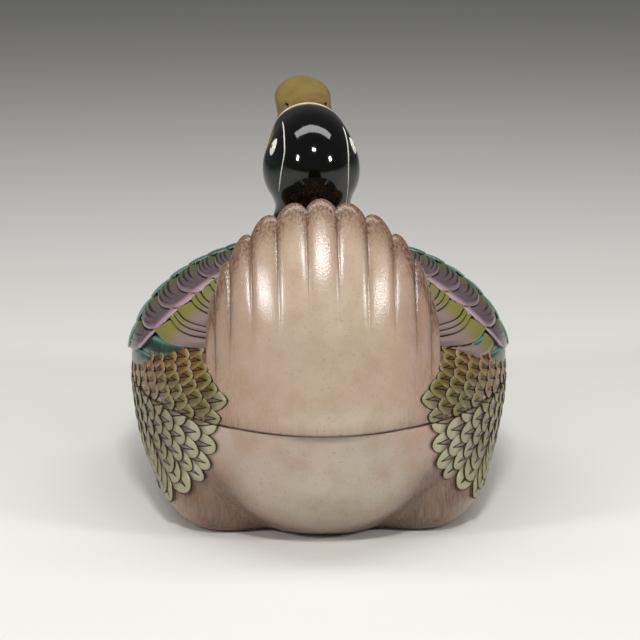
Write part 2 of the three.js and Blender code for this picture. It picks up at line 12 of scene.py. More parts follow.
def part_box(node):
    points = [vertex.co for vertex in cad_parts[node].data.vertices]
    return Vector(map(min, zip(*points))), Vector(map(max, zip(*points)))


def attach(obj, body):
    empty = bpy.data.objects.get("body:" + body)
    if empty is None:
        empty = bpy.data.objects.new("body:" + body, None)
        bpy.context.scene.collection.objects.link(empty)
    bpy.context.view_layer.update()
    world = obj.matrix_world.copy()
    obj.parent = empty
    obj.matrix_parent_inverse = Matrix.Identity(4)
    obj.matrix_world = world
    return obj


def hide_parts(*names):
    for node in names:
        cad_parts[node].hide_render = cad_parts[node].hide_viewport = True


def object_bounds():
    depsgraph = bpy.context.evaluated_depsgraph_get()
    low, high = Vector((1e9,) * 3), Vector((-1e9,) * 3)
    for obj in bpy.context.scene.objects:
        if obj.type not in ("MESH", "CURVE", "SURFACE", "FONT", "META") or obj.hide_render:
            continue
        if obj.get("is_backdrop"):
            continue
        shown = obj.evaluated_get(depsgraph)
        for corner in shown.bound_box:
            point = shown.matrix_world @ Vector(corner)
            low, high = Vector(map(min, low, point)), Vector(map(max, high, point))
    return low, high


bl_info = {
    "name": "Duck Tureen",
    "version": (1, 0, 0),
    "blender": (4, 5, 0),
    "location": "3D View > Sidebar > Tureen",
    "description": "Builds a glazed duck tureen: bowl, lid, tail fan, wings, feathers, head and bill",
    "category": "Add Mesh",
}

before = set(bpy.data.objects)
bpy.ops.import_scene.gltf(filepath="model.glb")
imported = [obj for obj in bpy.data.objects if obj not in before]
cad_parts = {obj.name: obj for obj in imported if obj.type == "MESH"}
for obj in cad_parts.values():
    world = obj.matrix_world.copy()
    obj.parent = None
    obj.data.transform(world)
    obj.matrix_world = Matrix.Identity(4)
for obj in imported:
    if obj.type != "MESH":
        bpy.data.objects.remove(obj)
CAD_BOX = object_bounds()
MM = 0.001
BOWL_LOW, BOWL_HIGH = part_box("bowl")
LID_LOW, LID_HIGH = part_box("lid_shell")
# The shapes below are worked out in millimetres round the middle of the bowl's plan
CENTRE = np.array([(BOWL_LOW.x + BOWL_HIGH.x) / 2, (BOWL_LOW.y + BOWL_HIGH.y) / 2, 0.0])
RIM_HALF_WIDTH = (BOWL_HIGH.x - BOWL_LOW.x) / 2 / MM
RIM_HALF_LENGTH = (BOWL_HIGH.y - BOWL_LOW.y) / 2 / MM
# The finishes of a thrown wall, in the order of its materials
OUTSIDE, INSIDE, BARE = range(3)
# Wings reach this far into the lid's clay, in millimetres
BED_DEPTH = 2.5


def tone(sheet_colour):
    """An sRGB hex colour as linear red, green and blue."""
    parts = [int(sheet_colour[i : i + 2], 16) / 255 for i in (1, 3, 5)]
    return tuple(p / 12.92 if p <= 0.04045 else ((p + 0.055) / 1.055) ** 2.4 for p in parts)


def length(name, description, millimetres):
    metres = millimetres * MM
    return FloatProperty(
        name=name, description=description, default=metres, unit="LENGTH", subtype="DISTANCE", precision=4
    )


def angle(name, description, degrees):
    return FloatProperty(
        name=name, description=description, default=math.radians(degrees), unit="ROTATION", subtype="ANGLE"
    )


def share(name, description, value):
    return FloatProperty(name=name, description=description, default=value)


def glaze_colour(name, description, sheet_colour):
    linear = tone(sheet_colour)
    return FloatVectorProperty(
        name=name, description=description, default=linear, subtype="COLOR", size=3, min=0.0, max=1.0
    )


class BowlSizes(bpy.types.PropertyGroup):
    rim_half_width: length("Rim half width", "Half the bowl's width at the seam", RIM_HALF_WIDTH)
    rim_half_length: length("Rim half length", "Half the length at the seam", RIM_HALF_LENGTH)
    rim_height: length("Rim height", "Height of the bowl's rim above the table", BOWL_HIGH.z / MM)
    base_half_width: length("Foot half width", "Half the width of the foot", 91)
    base_back: length("Foot back", "From the middle to the back of the foot", 108)
    base_front: length("Foot front", "From the middle to the front of the foot", 116)
    bulge: share("Bulge", "Roundness of the wall between foot and rim", 1.75)
    wall: length("Wall", "Thickness of the clay at the rim", 6.5)
    floor: length("Floor", "Height of the floor inside", 9)
    floor_inset: length("Floor inset", "How far the floor's edge lies inside the foot", 18)
    foot_width: length("Foot width", "Width of the flat foot ring", 13)
    recess: length("Recess", "Depth of the hollow under the foot", 2)
    haunch_angle: angle("Haunch angle", "Where a haunch stands, from the tail", 41)
    haunch_spread: angle("Haunch spread", "Half spread of a haunch", 15)
    haunch_swell: length("Haunch swell", "How far a haunch stands out at the foot", 17)
    haunch_height: length("Haunch height", "Where a haunch has died away", 50)
    crease_angle: angle("Crease angle", "Where the crease beside a haunch starts, from the tail", 20)
    crease_spread: angle("Crease spread", "Half spread of a crease", 8)
    crease_depth: length("Crease depth", "Depth of a crease at the foot", 7)
    lip: length("Lip", "Radius of the rim's rounded edges", 0.6)


class LidSizes(bpy.types.PropertyGroup):
    base: length("Lid base", "Height of the lid's lower edge", LID_LOW.z / MM)
    rise: length("Rise", "Height of the dome above the seam", (LID_HIGH.z - LID_LOW.z) / MM)
    bulge: share("Bulge", "Squareness of the dome's section", 2.2)
    wall: length("Wall", "Thickness of the clay", 6.5)
    lip: length("Lip", "Radius of the lower edge", 0.6)
    flange_depth: length("Flange depth", "How far the flange reaches into the bowl", 10)
    flange_clear: length("Flange clearance", "Inset of the flange from the dome's outside", 8.0)
    flange_wall: length("Flange wall", "Thickness of the flange", 5)
    flange_seat: length("Flange seat", "Height of the flange above the seam", 9)


class TailSizes(bpy.types.PropertyGroup):
    half_width: length("Half width", "Half the width of the fan", 69)
    rise: length("Rise", "Height of the middle lobe above the seam", 124.5)
    shoulder: length("Shoulder", "Height of the outermost lobe above the seam", 40)
    roundness: share("Roundness", "Squareness of the fan's outline", 2.0)
    crown: length("Crown", "How far the fan's sides curve forward", 46)
    proud: length("Proud", "How far the fan stands behind the lid", 1.5)
    lean: length("Lean", "How far the fan's top leans forward", 46)
    turn: length("Turn", "Height at which the fan starts to lean", 30)
    root_thickness: length("Root thickness", "Thickness of the fan at its root", 20)
    tip_thickness: length("Tip thickness", "Thickness of the fan at its top", 7)
    lobes: IntProperty(name="Lobes", description="Number of feathers in the fan", default=11, min=3, max=31)
    lobe_turn: angle("Lobe turn", "Width of one lobe round the fan", 14.6)
    notch: length("Notch", "Depth of the gap between two lobes", 4.6)
    flute_depth: length("Flute depth", "Depth of the groove between two feathers", 1.8)
    flute_reach: length("Flute reach", "How far a groove runs down from the edge", 62)
    join: length("Join", "Softness of the join between fan and rump", 9)
    tuck: length("Tuck", "How far each feather's outer edge stands over its inner one", 1.2)
    sway: length("Sway", "How far the fan's top stands to one side", -1.5)


class ScaleSizes(bpy.types.PropertyGroup):
    bowl_pitch: length("Bowl pitch", "Spacing of the scale feathers along a row on the bowl", 12.6)
    bowl_step: length("Bowl row step", "Spacing of the rows on the bowl", 12.8)
    lid_pitch: length("Lid pitch", "Spacing of the scale feathers along a row on the lid", 11)
    lid_step: length("Lid row step", "Spacing of the rows on the lid", 10.5)
    depth: length("Depth", "Thickness of a scale feather", 2.2)
    level_tip: angle("Level tip", "How far below level a feather points beside the tail", -8)
    tilt: angle("Tilt", "How far a feather's tip lifts off the one behind it", 5)
    unevenness: share("Unevenness", "How much the hand-pressed feathers differ in size", 0.05)
    seed: IntProperty(name="Seed", description="Fixes which feathers are larger or smaller", default=7)


class WingSizes(bpy.types.PropertyGroup):
    low_angle: angle("Low angle", "Lower edge of the wing, round the lid's long axis", 3)
    high_angle: angle("High angle", "Upper edge of the wing", 68)
    tip_back: length("Tip back", "From the middle of the lid back to the wing's tip", 104)
    shoulder_front: length("Shoulder front", "From the middle of the lid to the wing's shoulder", 72)
    edge_front: length("Edge front", "Where the wing's edges start at the front", 34)
    bed: length("Bed", "Thickness of the plate under the feathers", 1.0)
    primary_lift: length("Primary lift", "Height of the long rear feathers above the lid", 2.9)
    secondary_lift: length("Secondary lift", "Height of the middle row above the lid", 4.0)
    covert_lift: length("Covert lift", "Height of the front row above the lid", 4.9)
    upper_share: share("Upper share", "Height of the rows at the upper edge, as a share of the lower", 0.66)


class HeadSizes(bpy.types.PropertyGroup):
    side: length("Side", "How far the head stands to the left of the middle", 2)
    forward: length("Forward", "From the middle of the plan to the middle of the head", 88)
    rise: length("Rise", "Height of the middle of the head above the seam", 113.5)
    yaw: angle("Yaw", "Turn of the head to the left", 4.5)
    pitch: angle("Pitch", "Tilt of the head", 22)
    skull_width: length("Skull width", "Half width of the skull", 27.5)
    skull_length: length("Skull length", "Half length of the skull", 37)
    skull_height: length("Skull height", "Half height of the skull", 30)
    cheek: length("Cheek", "Half width of a cheek", 16.5)
    neck: length("Neck", "Radius of the neck under the head", 17)
    neck_base: length("Neck base", "Radius of the neck at the breast", 42)
    blend: length("Blend", "Softness of the joins between the head's forms", 9)
    bill_root: length("Bill root", "From the middle of the head to the bill's root", 26)
    bill_tip: length("Bill tip", "From the middle of the head to the bill's tip", 84)
    bill_half_width: length("Bill half width", "Half width of the bill", 19.5)
    bill_top: length("Bill top", "Height of the bill's root over the head's middle", 19)
    bill_end: length("Bill end", "Height of the bill's tip over the head's middle", 13)
    eye: length("Eye", "Half height of an eye", 6)
    eye_share: share("Eye share", "Width of an eye as a share of its height", 0.62)
    eye_bead: length("Eye bead", "Half thickness of an eye", 2.2)
    eye_sink: length("Eye sink", "How far an eye's middle lies under the skin", 0.9)
    pupil: angle("Pupil", "Reach of the pupil over the eye's bead", 17.2)


class Glazes(bpy.types.PropertyGroup):
    pink: glaze_colour("Pink beige", "The body glaze where it is thick", "#B39485")
    tan: glaze_colour("Tan", "Warmer clouds in the body glaze", "#B59C82")
    # Cream also paints the paler middle of the belly and rump: painted light
    cream: glaze_colour("Cream", "The body glaze where it is thin", "#BFB5A0")
    grey: glaze_colour("Grey", "The body glaze low on the bowl", "#ADA596")
    umber: glaze_colour("Umber", "Small mottles in the body glaze", "#93714F")
    # Brown is painted shade in the bowl's creases, round its foot, along its sides, beside the fan's grooves,
    # at the seam and at the scale feathers' roots; over the fan's tips and outer feathers it is brushwork
    brown: glaze_colour("Brown", "The wash brushed into folds and over the tail's edge", "#573A2A")
    # Sepia's lines in the fan's grooves and along the seam are painted shade
    sepia: glaze_colour("Sepia", "The iron lines in grooves and at the seam", "#3A2517")
    clay: glaze_colour("Clay", "The bare fired body", "#CDB596")
    line: glaze_colour("Line", "The painted outlines", "#0B0806")
    scale_cream: glaze_colour("Scale cream", "Scale feathers beside the tail", "#A5A187")
    # Scale highlight: a painted highlight on the raised edge of each scale feather
    scale_highlight: glaze_colour("Scale rim", "The lighter wash on a scale feather's raised edge", "#A39D72")
    scale_olive: glaze_colour("Scale olive", "Scale feathers on the flanks", "#595220")
    scale_rust: glaze_colour("Scale rust", "Scale feathers under the wings and on the breast", "#6A3A12")
    teal: glaze_colour("Teal", "The wing's front feathers", "#07302A")
    # Teal highlight: the pale rims of the teal feathers are a painted highlight
    teal_highlight: glaze_colour("Teal rim", "The pale rims of the teal feathers", "#4C9080")
    mauve: glaze_colour("Mauve", "The wing's middle feathers", "#54444A")
    # Mauve highlight: the pink ridges on the middle feathers' ends and lower edges are a painted highlight
    mauve_highlight: glaze_colour("Mauve rim", "The pink ridges of the middle feathers", "#A18590")
    moss: glaze_colour("Moss", "The roots of the long feathers", "#747031")
    dusk: glaze_colour("Dusk", "The tips of the long feathers", "#806E67")
    crown: glaze_colour("Crown", "The near-black crown", "#070806")
    cheek: glaze_colour("Cheek", "The dark green cheeks", "#0F1D17")
    white: glaze_colour("White", "The eyes and the trailed lines", "#DEDCD2")
    bill: glaze_colour("Bill", "The olive-yellow bill", "#7C6D3A")
    bill_root: glaze_colour("Bill root", "The browner root of the bill", "#6B4E27")


def read(group):
    """One group of the scene's sizes, its lengths in millimetres."""
    sizes = getattr(bpy.context.scene, group)
    found = {}
    for prop in sizes.bl_rna.properties:
        if prop.identifier not in ("rna_type", "name"):
            value = getattr(sizes, prop.identifier)
            found[prop.identifier] = value / MM if prop.unit == "LENGTH" else value
    return SimpleNamespace(**found)


def lerp(a, b, t):
    return a + (b - a) * t


def bump(t):
    return np.exp(-t * t)


def ease(t):
    t = np.clip(t, 0, 1)
    return t * t * (3 - 2 * t)


def quarter(reach, bulge):
    """The rounded fall from 1 to 0 as reach goes from 0 to 1."""
    return (1 - np.clip(reach, 0, 1) ** bulge) ** (1 / bulge)


def unit(v):
    return v / np.maximum(np.linalg.norm(v, axis=-1, keepdims=True), 1e-9)


def stack(*parts):
    return np.stack(np.broadcast_arrays(*parts), -1)


class Shells:
    """Closed shells gathered into one mesh, with the values that their glaze reads at each point."""

    def __init__(self):
        self.points, self.faces, self.layers, self.tones, self.count = [], [], {}, [], 0

    def add(self, rings, tones=0, ends="fan", **layers):
        """Skins closed rings of points. The end rings close to their middles ("fan"), edge to edge
        from the first point and the last ("zip"), or to each other ("hoop")."""
        rings = np.asarray(rings, float)
        rows, around = rings.shape[:2]
        hoop = ends == "hoop"
        index = np.arange(rows * around).reshape(rows, around)
        ahead = np.roll(index, -1, 1)
        above, above_ahead = np.roll(index, -1, 0), np.roll(ahead, -1, 0)
        span = rows if hoop else rows - 1
        quads = np.stack([index, ahead, above_ahead, above], -1)[:span].reshape(-1, 4)
        points = rings.reshape(-1, 3)
        bands = np.broadcast_to(np.asarray(tones), (span,))
        closing = []
        if ends == "zip":
            low = np.arange(around // 2 - 1)
            pairs = np.stack([low + 1, low, around - 1 - low, around - 2 - low], -1)
            closing = [index[0][pairs], index[-1][pairs[:, ::-1]]]
        elif ends == "fan":
            first, last = rows * around, rows * around + 1
            points = np.vstack([points, rings[0].mean(0), rings[-1].mean(0)])
            closing = [
                np.stack([np.full(around, first), ahead[0], index[0]], -1),
                np.stack([np.full(around, last), index[-1], ahead[-1]], -1),
            ]
        volume = 0
        for faces in (quads, *closing):
            corners = points[faces]
            for k in range(1, faces.shape[1] - 1):
                volume += np.einsum("ij,ij->", corners[:, 0], np.cross(corners[:, k], corners[:, k + 1]))
        for faces, band in ((quads, np.repeat(bands, around)), *zip(closing, (bands[0], bands[-1]))):
            faces = faces if volume > 0 else faces[:, ::-1]
            self.faces += (faces + self.count).tolist()
            self.tones += np.broadcast_to(band, (len(faces),)).tolist()
        self.points.append(points)
        for name, values in layers.items():
            values = np.asarray(values, float)
            flat = values.reshape((rows * around,) + values.shape[2:])
            if ends == "fan":
                flat = np.concatenate([flat, [values[0].mean(0)], [values[-1].mean(0)]])
            self.layers.setdefault(name, []).append(flat)
        self.count += len(points)

    def mesh(self, name, materials):
        mesh = bpy.data.meshes.new(name)
        mesh.from_pydata((np.concatenate(self.points) * MM + CENTRE).tolist(), [], self.faces)
        mesh.polygons.foreach_set("use_smooth", [True] * len(self.faces))
        mesh.polygons.foreach_set("material_index", self.tones)
        for layer, parts in self.layers.items():
            values = np.concatenate(parts)
            if layer == "uv":
                corners = np.zeros(len(mesh.loops), np.int32)
                mesh.loops.foreach_get("vertex_index", corners)
                mesh.uv_layers.new(name="UVMap").data.foreach_set("uv", values[corners].ravel())
            elif values.ndim == 2:
                paint = mesh.attributes.new(layer, "FLOAT_COLOR", "POINT")
                paint.data.foreach_set("color", np.hstack([values, np.ones((len(values), 1))]).ravel())
            else:
                mesh.attributes.new(layer, "FLOAT", "POINT").data.foreach_set("value", values.ravel())
        for material in materials:
            mesh.materials.append(material)
        mesh.update()
        return mesh


def put(mesh, body, slot, *stands_for):
    """Puts a finished mesh on one of the tureen's two bodies."""
    piece = bpy.data.objects.new(mesh.name, mesh)
    bpy.context.scene.collection.objects.link(piece)
    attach(piece, body)
    if stands_for:
        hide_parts(*stands_for)


# The oval plan; turn is 0 at the tail and grows towards the right wing
def plan_ring(half_width, back, front, turn, z):
    cosine = np.cos(turn)
    return stack(half_width * np.sin(turn), -np.where(cosine > 0, back, front) * cosine, z)


def rim_ring(bowl, inset, turn, z):
    """The oval of the bowl's rim, drawn in by an inset."""
    half_length = bowl.rim_half_length - inset
    return plan_ring(bowl.rim_half_width - inset, half_length, half_length, turn, z)


def foot_oval(bowl, inset):
    """Half width, back and front of the foot's oval, drawn in by an inset."""
    return [size - inset for size in (bowl.base_half_width, bowl.base_back, bowl.base_front)]


def bowl_folds(bowl, turn, z):
    """How far haunch and crease have built up at a place on the bowl, each from 0 to 1."""
    from_tail = np.abs(turn)
    fade = np.clip(1 - (z / bowl.haunch_height) ** 2, 0, 1) ** 2
    # Both turn away from the tail as they rise, by so many degrees for each millimetre
    haunch_turn, crease_turn = math.radians(0.35) * z, math.radians(0.6) * z
    haunch = bump((from_tail - bowl.haunch_angle - haunch_turn) / bowl.haunch_spread) * fade
    crease = bump((from_tail - bowl.crease_angle - crease_turn) / bowl.crease_spread) * fade
    return haunch, crease


def bowl_skin(bowl, turn, rise, inset=0.0):
    """The bowl's outside, from the foot at rise 0 to the rim at rise 1."""
    spread = quarter(1 - rise, bowl.bulge)
    z = bowl.rim_height * rise
    ring = plan_ring(
        lerp(bowl.base_half_width, bowl.rim_half_width, spread),
        lerp(bowl.base_back, bowl.rim_half_length, spread),
        lerp(bowl.base_front, bowl.rim_half_length, spread),
        turn,
        z,
    )
    haunch, crease = bowl_folds(bowl, turn, z)
    swell = bowl.haunch_swell * haunch - bowl.crease_depth * crease - inset
    return ring + unit(ring * [1, 1, 0]) * swell[..., None]


def lid_skin(bowl, lid, turn, lift, grow=0.0):
    """The lid's outside, from the seam at lift 0 to the top at lift 1."""
    climb = lift * math.pi / 2
    inward = np.maximum(np.cos(climb), 0) ** (2 / lid.bulge)
    z = lid.base + (lid.rise + grow) * np.sin(climb) ** (2 / lid.bulge)
    return plan_ring(
        (bowl.rim_half_width + grow) * inward,
        (bowl.rim_half_length + grow) * inward,
        (bowl.rim_half_length + grow) * inward,
        turn,
        z,
    )


def lid_radius(bowl, lid, y, climb):
    """Distance from the lid's long axis to its outside, at a place along it and an angle round it."""
    y, climb = np.broadcast_arrays(np.asarray(y, float), np.asarray(climb, float))
    low, high = np.zeros(y.shape), np.full(y.shape, bowl.rim_half_width + lid.rise)
    for _ in range(30):
        middle = (low + high) / 2
        plan = np.hypot(middle * np.cos(climb) / bowl.rim_half_width, y / bowl.rim_half_length)
        outside = plan**lid.bulge + np.abs(middle * np.sin(climb) / lid.rise) ** lid.bulge > 1
        low, high = np.where(outside, low, middle), np.where(outside, middle, high)
    return low


def lid_place(bowl, lid, y, climb, grow):
    """A point over the lid, at a place along its long axis and an angle round it."""
    radius = lid_radius(bowl, lid, y, climb) + grow
    return stack(radius * np.cos(climb), y, lid.base + radius * np.sin(climb))


def wing_ends(wing, climb):
    """The back and front ends of a wing at an angle round the lid."""
    u = np.clip((climb - wing.low_angle) / (wing.high_angle - wing.low_angle), 0, 1)
    # The wing reaches furthest back at this share of its height
    furthest, above, spread = 0.43, 0.57, 0.36
    least = math.exp(-((above / spread) ** 2))
    tip = (bump((u - furthest) / spread) - least) / (1 - least)
    shoulder = quarter(np.abs(2 * u - 1), 2.6)
    return -lerp(-12, wing.tip_back, tip), lerp(wing.edge_front, wing.shoulder_front, shoulder)


def head_axes(head):
    turned = Matrix.Rotation(head.yaw, 3, "Z") @ Matrix.Rotation(head.pitch, 3, "X")
    return np.array(turned), np.array([-head.side, head.forward, read("lid_sizes").base + head.rise])


def from_head(head, points):
    axes, middle = head_axes(head)
    return np.asarray(points) @ axes.T + middle


def ellipsoid(p, middle, radii):
    scaled = (p - middle) / radii
    k0 = np.linalg.norm(scaled, axis=-1)
    k1 = np.linalg.norm(scaled / radii, axis=-1)
    return k0 * (k0 - 1) / np.maximum(k1, 1e-9)


def joined(a, b, size):
    h = np.clip(0.5 + (b - a) / (2 * size), 0, 1)
    return lerp(b, a, h) - size * h * (1 - h)


def head_distance(head, p):
    """Distance from a point to the skin of head and neck, negative inside."""
    axes, middle = head_axes(head)
    q = (p - middle) @ axes
    mirrored = np.concatenate([np.abs(q[..., :1]), q[..., 1:]], -1)
    # Places on the head are in millimetres from its middle: to the side, forward and up
    form = ellipsoid(q, [0, 0, 0], [head.skull_width, head.skull_length, head.skull_height])
    cheek = ellipsoid(mirrored, [14.5, 0, -11], [head.cheek, head.cheek * 1.5, head.cheek * 1.15])
    face = ellipsoid(q, [0, 24, 1], [23, 23, 19.5])
    # The neck rises from the breast into the skull
    foot = np.array([0, 93, read("lid_sizes").base + 32])
    top = middle + [0, -3, -14]
    axis = top - foot
    t = np.clip((p - foot) @ axis / (axis @ axis), 0, 1)
    neck = np.linalg.norm(p - foot - t[..., None] * axis, axis=-1) - lerp(head.neck_base, head.neck, t)
    for other in (cheek, face, neck):
        form = joined(form, other, head.blend)
    return form


def head_slope(head, p):
    """The outward direction at a point of the head's skin."""
    here = head_distance(head, p)
    return unit(stack(*[head_distance(head, p + 0.3 * axis) - here for axis in np.eye(3)]))


def march(head, start, heading, reach, inward=True):
    """Where lines from start meet the head's skin, coming from outside or leaving from inside."""
    start, heading = np.broadcast_arrays(np.asarray(start, float), unit(np.asarray(heading, float)))
    low = np.zeros(start.shape[:-1])
    met = np.zeros(start.shape[:-1], bool)
    for step in np.arange(0, reach, 1.0):
        inside = head_distance(head, start + heading * step) < 0
        met |= inside == inward
        low = np.where(met, low, step)
    high = low + 1
    for _ in range(14):
        middle = (low + high) / 2
        passed = (head_distance(head, start + heading * middle[..., None]) < 0) == inward
        low, high = np.where(passed, low, middle), np.where(passed, middle, high)
    return start + heading * low[..., None]


def tube(path, radius):
    """Rings round a path; the ends narrow to a point that the shell closes."""
    path = np.asarray(path, float)
    along = unit(np.gradient(path, axis=0))
    # No path here runs along this direction
    side = unit(np.cross(along, [0.31, 0.17, 0.93]))
    up = np.cross(side, along)
    turn = np.linspace(0, 2 * math.pi, 10, endpoint=False)
    radius = np.broadcast_to(radius, (len(path),))
    round_it = side[:, None] * np.cos(turn)[:, None] + up[:, None] * np.sin(turn)[:, None]
    return path[:, None] + round_it * radius[:, None, None]


def node(tree, kind, inputs=None, **settings):
    """Adds a node, sets its properties, and fills its inputs with values or links."""
    made = tree.nodes.new(kind)
    for name, value in settings.items():
        setattr(made, name, value)
    for key, value in (inputs or {}).items():
        named = [socket for socket in made.inputs if socket.name == key and socket.enabled]
        socket = named[0] if named else made.inputs[key]
        if isinstance(value, bpy.types.Node):
            value = next(output for output in value.outputs if output.enabled)
        if isinstance(value, bpy.types.NodeSocket):
            tree.links.new(value, socket)
        elif socket.type == "RGBA":
            socket.default_value = (*[float(part) for part in value[:3]], 1.0)
        else:
            socket.default_value = value
    return made


def per_metre(millimetres):
    """A texture's scale for marks of a real size."""
    return 1 / (millimetres * MM)


def new_material(name):
    material = bpy.data.materials.new(name)
    material.use_nodes = True
    material.node_tree.nodes.clear()
    return material, material.node_tree


def close_material(tree, colour, roughness, waves, wave_height, refraction=1.5):
    """The glaze's shader, its surface waves and the output."""
    lifted = node(tree, "ShaderNodeBump", {"Height": waves, "Distance": wave_height, "Strength": 1.0})
    inputs = {"Base Color": colour, "Roughness": roughness, "IOR": refraction, "Normal": lifted}
    glossy = node(tree, "ShaderNodeBsdfPrincipled", inputs)
    node(tree, "ShaderNodeOutputMaterial", {"Surface": glossy.outputs[0]})


def glazed_stoneware(name, colours, warm, cool, painted=True, softest=0.6):
    """Thick stoneware glaze: the eye sees soft clouds of two beiges, brown brushed over the fan's tips, small
    mottles and pinholes, and a grainy gloss. Brown in the folds, round the foot and along the sides, and thin
    dark lines in the grooves and at the seam are painted shade; paler cream in the middle is painted light."""
    material, tree = new_material(name)
    place = node(tree, "ShaderNodeTexCoord").outputs["Object"]
    clouds = node(tree, "ShaderNodeTexNoise", {"Vector": place, "Scale": per_metre(45), "Detail": 2.5})
    cloudy = node(tree, "ShaderNodeMapRange", {"Value": clouds, "From Min": 0.3, "From Max": 0.7})
    colour = node(tree, "ShaderNodeMix", {"Factor": cloudy, "A": warm, "B": cool}, data_type="RGBA")
    if painted:
        # Layers: thin paints paler cream (painted light), wash brown (painted shade, and brushwork on the
        # fan), line the millimetres to a dark line in a groove or at the seam (painted shade)
        thin = node(tree, "ShaderNodeAttribute", attribute_name="thin").outputs["Fac"]
        wash = node(tree, "ShaderNodeAttribute", attribute_name="wash").outputs["Fac"]
        line = node(tree, "ShaderNodeAttribute", attribute_name="line").outputs["Fac"]
        # Brush hairs are drawn wider than they are, so that they show at all
        upright = node(tree, "ShaderNodeVectorMath", {0: place, 1: (1.0, 1.0, 0.05)}, operation="MULTIPLY")
        hairs = node(tree, "ShaderNodeTexNoise", {"Vector": upright, "Scale": per_metre(1.1), "Detail": 2.0})
        brushed = node(
            tree,
            "ShaderNodeMapRange",
            {"Value": hairs, "From Min": 0.38, "From Max": 0.64, "To Min": softest},
        )
        # Brushwork on the fan, and painted shade in the folds and at the seam
        brushed_brown_and_shade = node(tree, "ShaderNodeMath", {0: wash, 1: brushed}, operation="MULTIPLY")
        # Painted shade: sepia lines in the grooves and along the seam
        inked = node(
            tree,
            "ShaderNodeMapRange",
            {"Value": line, "From Min": 0.2, "From Max": 2.0, "To Min": 0.85, "To Max": 0.0},
        )
        for cover, coat in ((thin, colours.cream), (brushed_brown_and_shade, colours.brown), (inked, colours.sepia)):
            colour = node(tree, "ShaderNodeMix", {"Factor": cover, "A": colour, "B": coat}, data_type="RGBA")
    mottles = node(tree, "ShaderNodeTexNoise", {"Vector": place, "Scale": per_metre(15), "Detail": 5.0})
    mottled = node(
        tree, "ShaderNodeMapRange", {"Value": mottles, "From Min": 0.42, "From Max": 0.72, "To Max": 0.3}
    )
    pinholes = node(tree, "ShaderNodeTexNoise", {"Vector": place, "Scale": per_metre(1.2), "Detail": 1.0})
    pinholed = node(
        tree, "ShaderNodeMapRange", {"Value": pinholes, "From Min": 0.62, "From Max": 0.8, "To Max": 0.3}
    )
    for cover, coat in ((mottled, colours.umber), (pinholed, colours.brown)):
        colour = node(tree, "ShaderNodeMix", {"Factor": cover, "A": colour, "B": coat}, data_type="RGBA")
    peel = node(tree, "ShaderNodeTexNoise", {"Vector": place, "Scale": per_metre(0.9), "Detail": 2.0})
    rough = node(
        tree,
        "ShaderNodeMapRange",
        {"Value": clouds, "From Min": 0.3, "From Max": 0.7, "To Min": 0.17, "To Max": 0.25},
    )
    close_material(tree, colour, rough, peel, 0.11 * MM)
    return material


def bare_stoneware(name, colours):
    """Fired clay without glaze: the eye sees a dry, matt, slightly sandy buff."""
    material, tree = new_material(name)
    place = node(tree, "ShaderNodeTexCoord").outputs["Object"]
    sand = node(tree, "ShaderNodeTexNoise", {"Vector": place, "Scale": per_metre(0.9), "Detail": 4.0})
    sandy = node(
        tree, "ShaderNodeMapRange", {"Value": sand, "From Min": 0.45, "From Max": 0.75, "To Max": 0.5}
    )
    grainy = {"Factor": sandy, "A": colours.clay, "B": colours.sepia}
    colour = node(tree, "ShaderNodeMix", grainy, data_type="RGBA")
    close_material(tree, colour, 0.85, sand, 0.3 * MM)
    return material


def outlined(tree, colour, line_colour, edge, width, soft):
    """Painted colour with a dark line where the edge value, in millimetres, is small."""
    clear = node(tree, "ShaderNodeMapRange", {"Value": edge, "From Min": width, "From Max": width + soft})
    return node(tree, "ShaderNodeMix", {"Factor": clear, "A": line_colour, "B": colour}, data_type="RGBA")


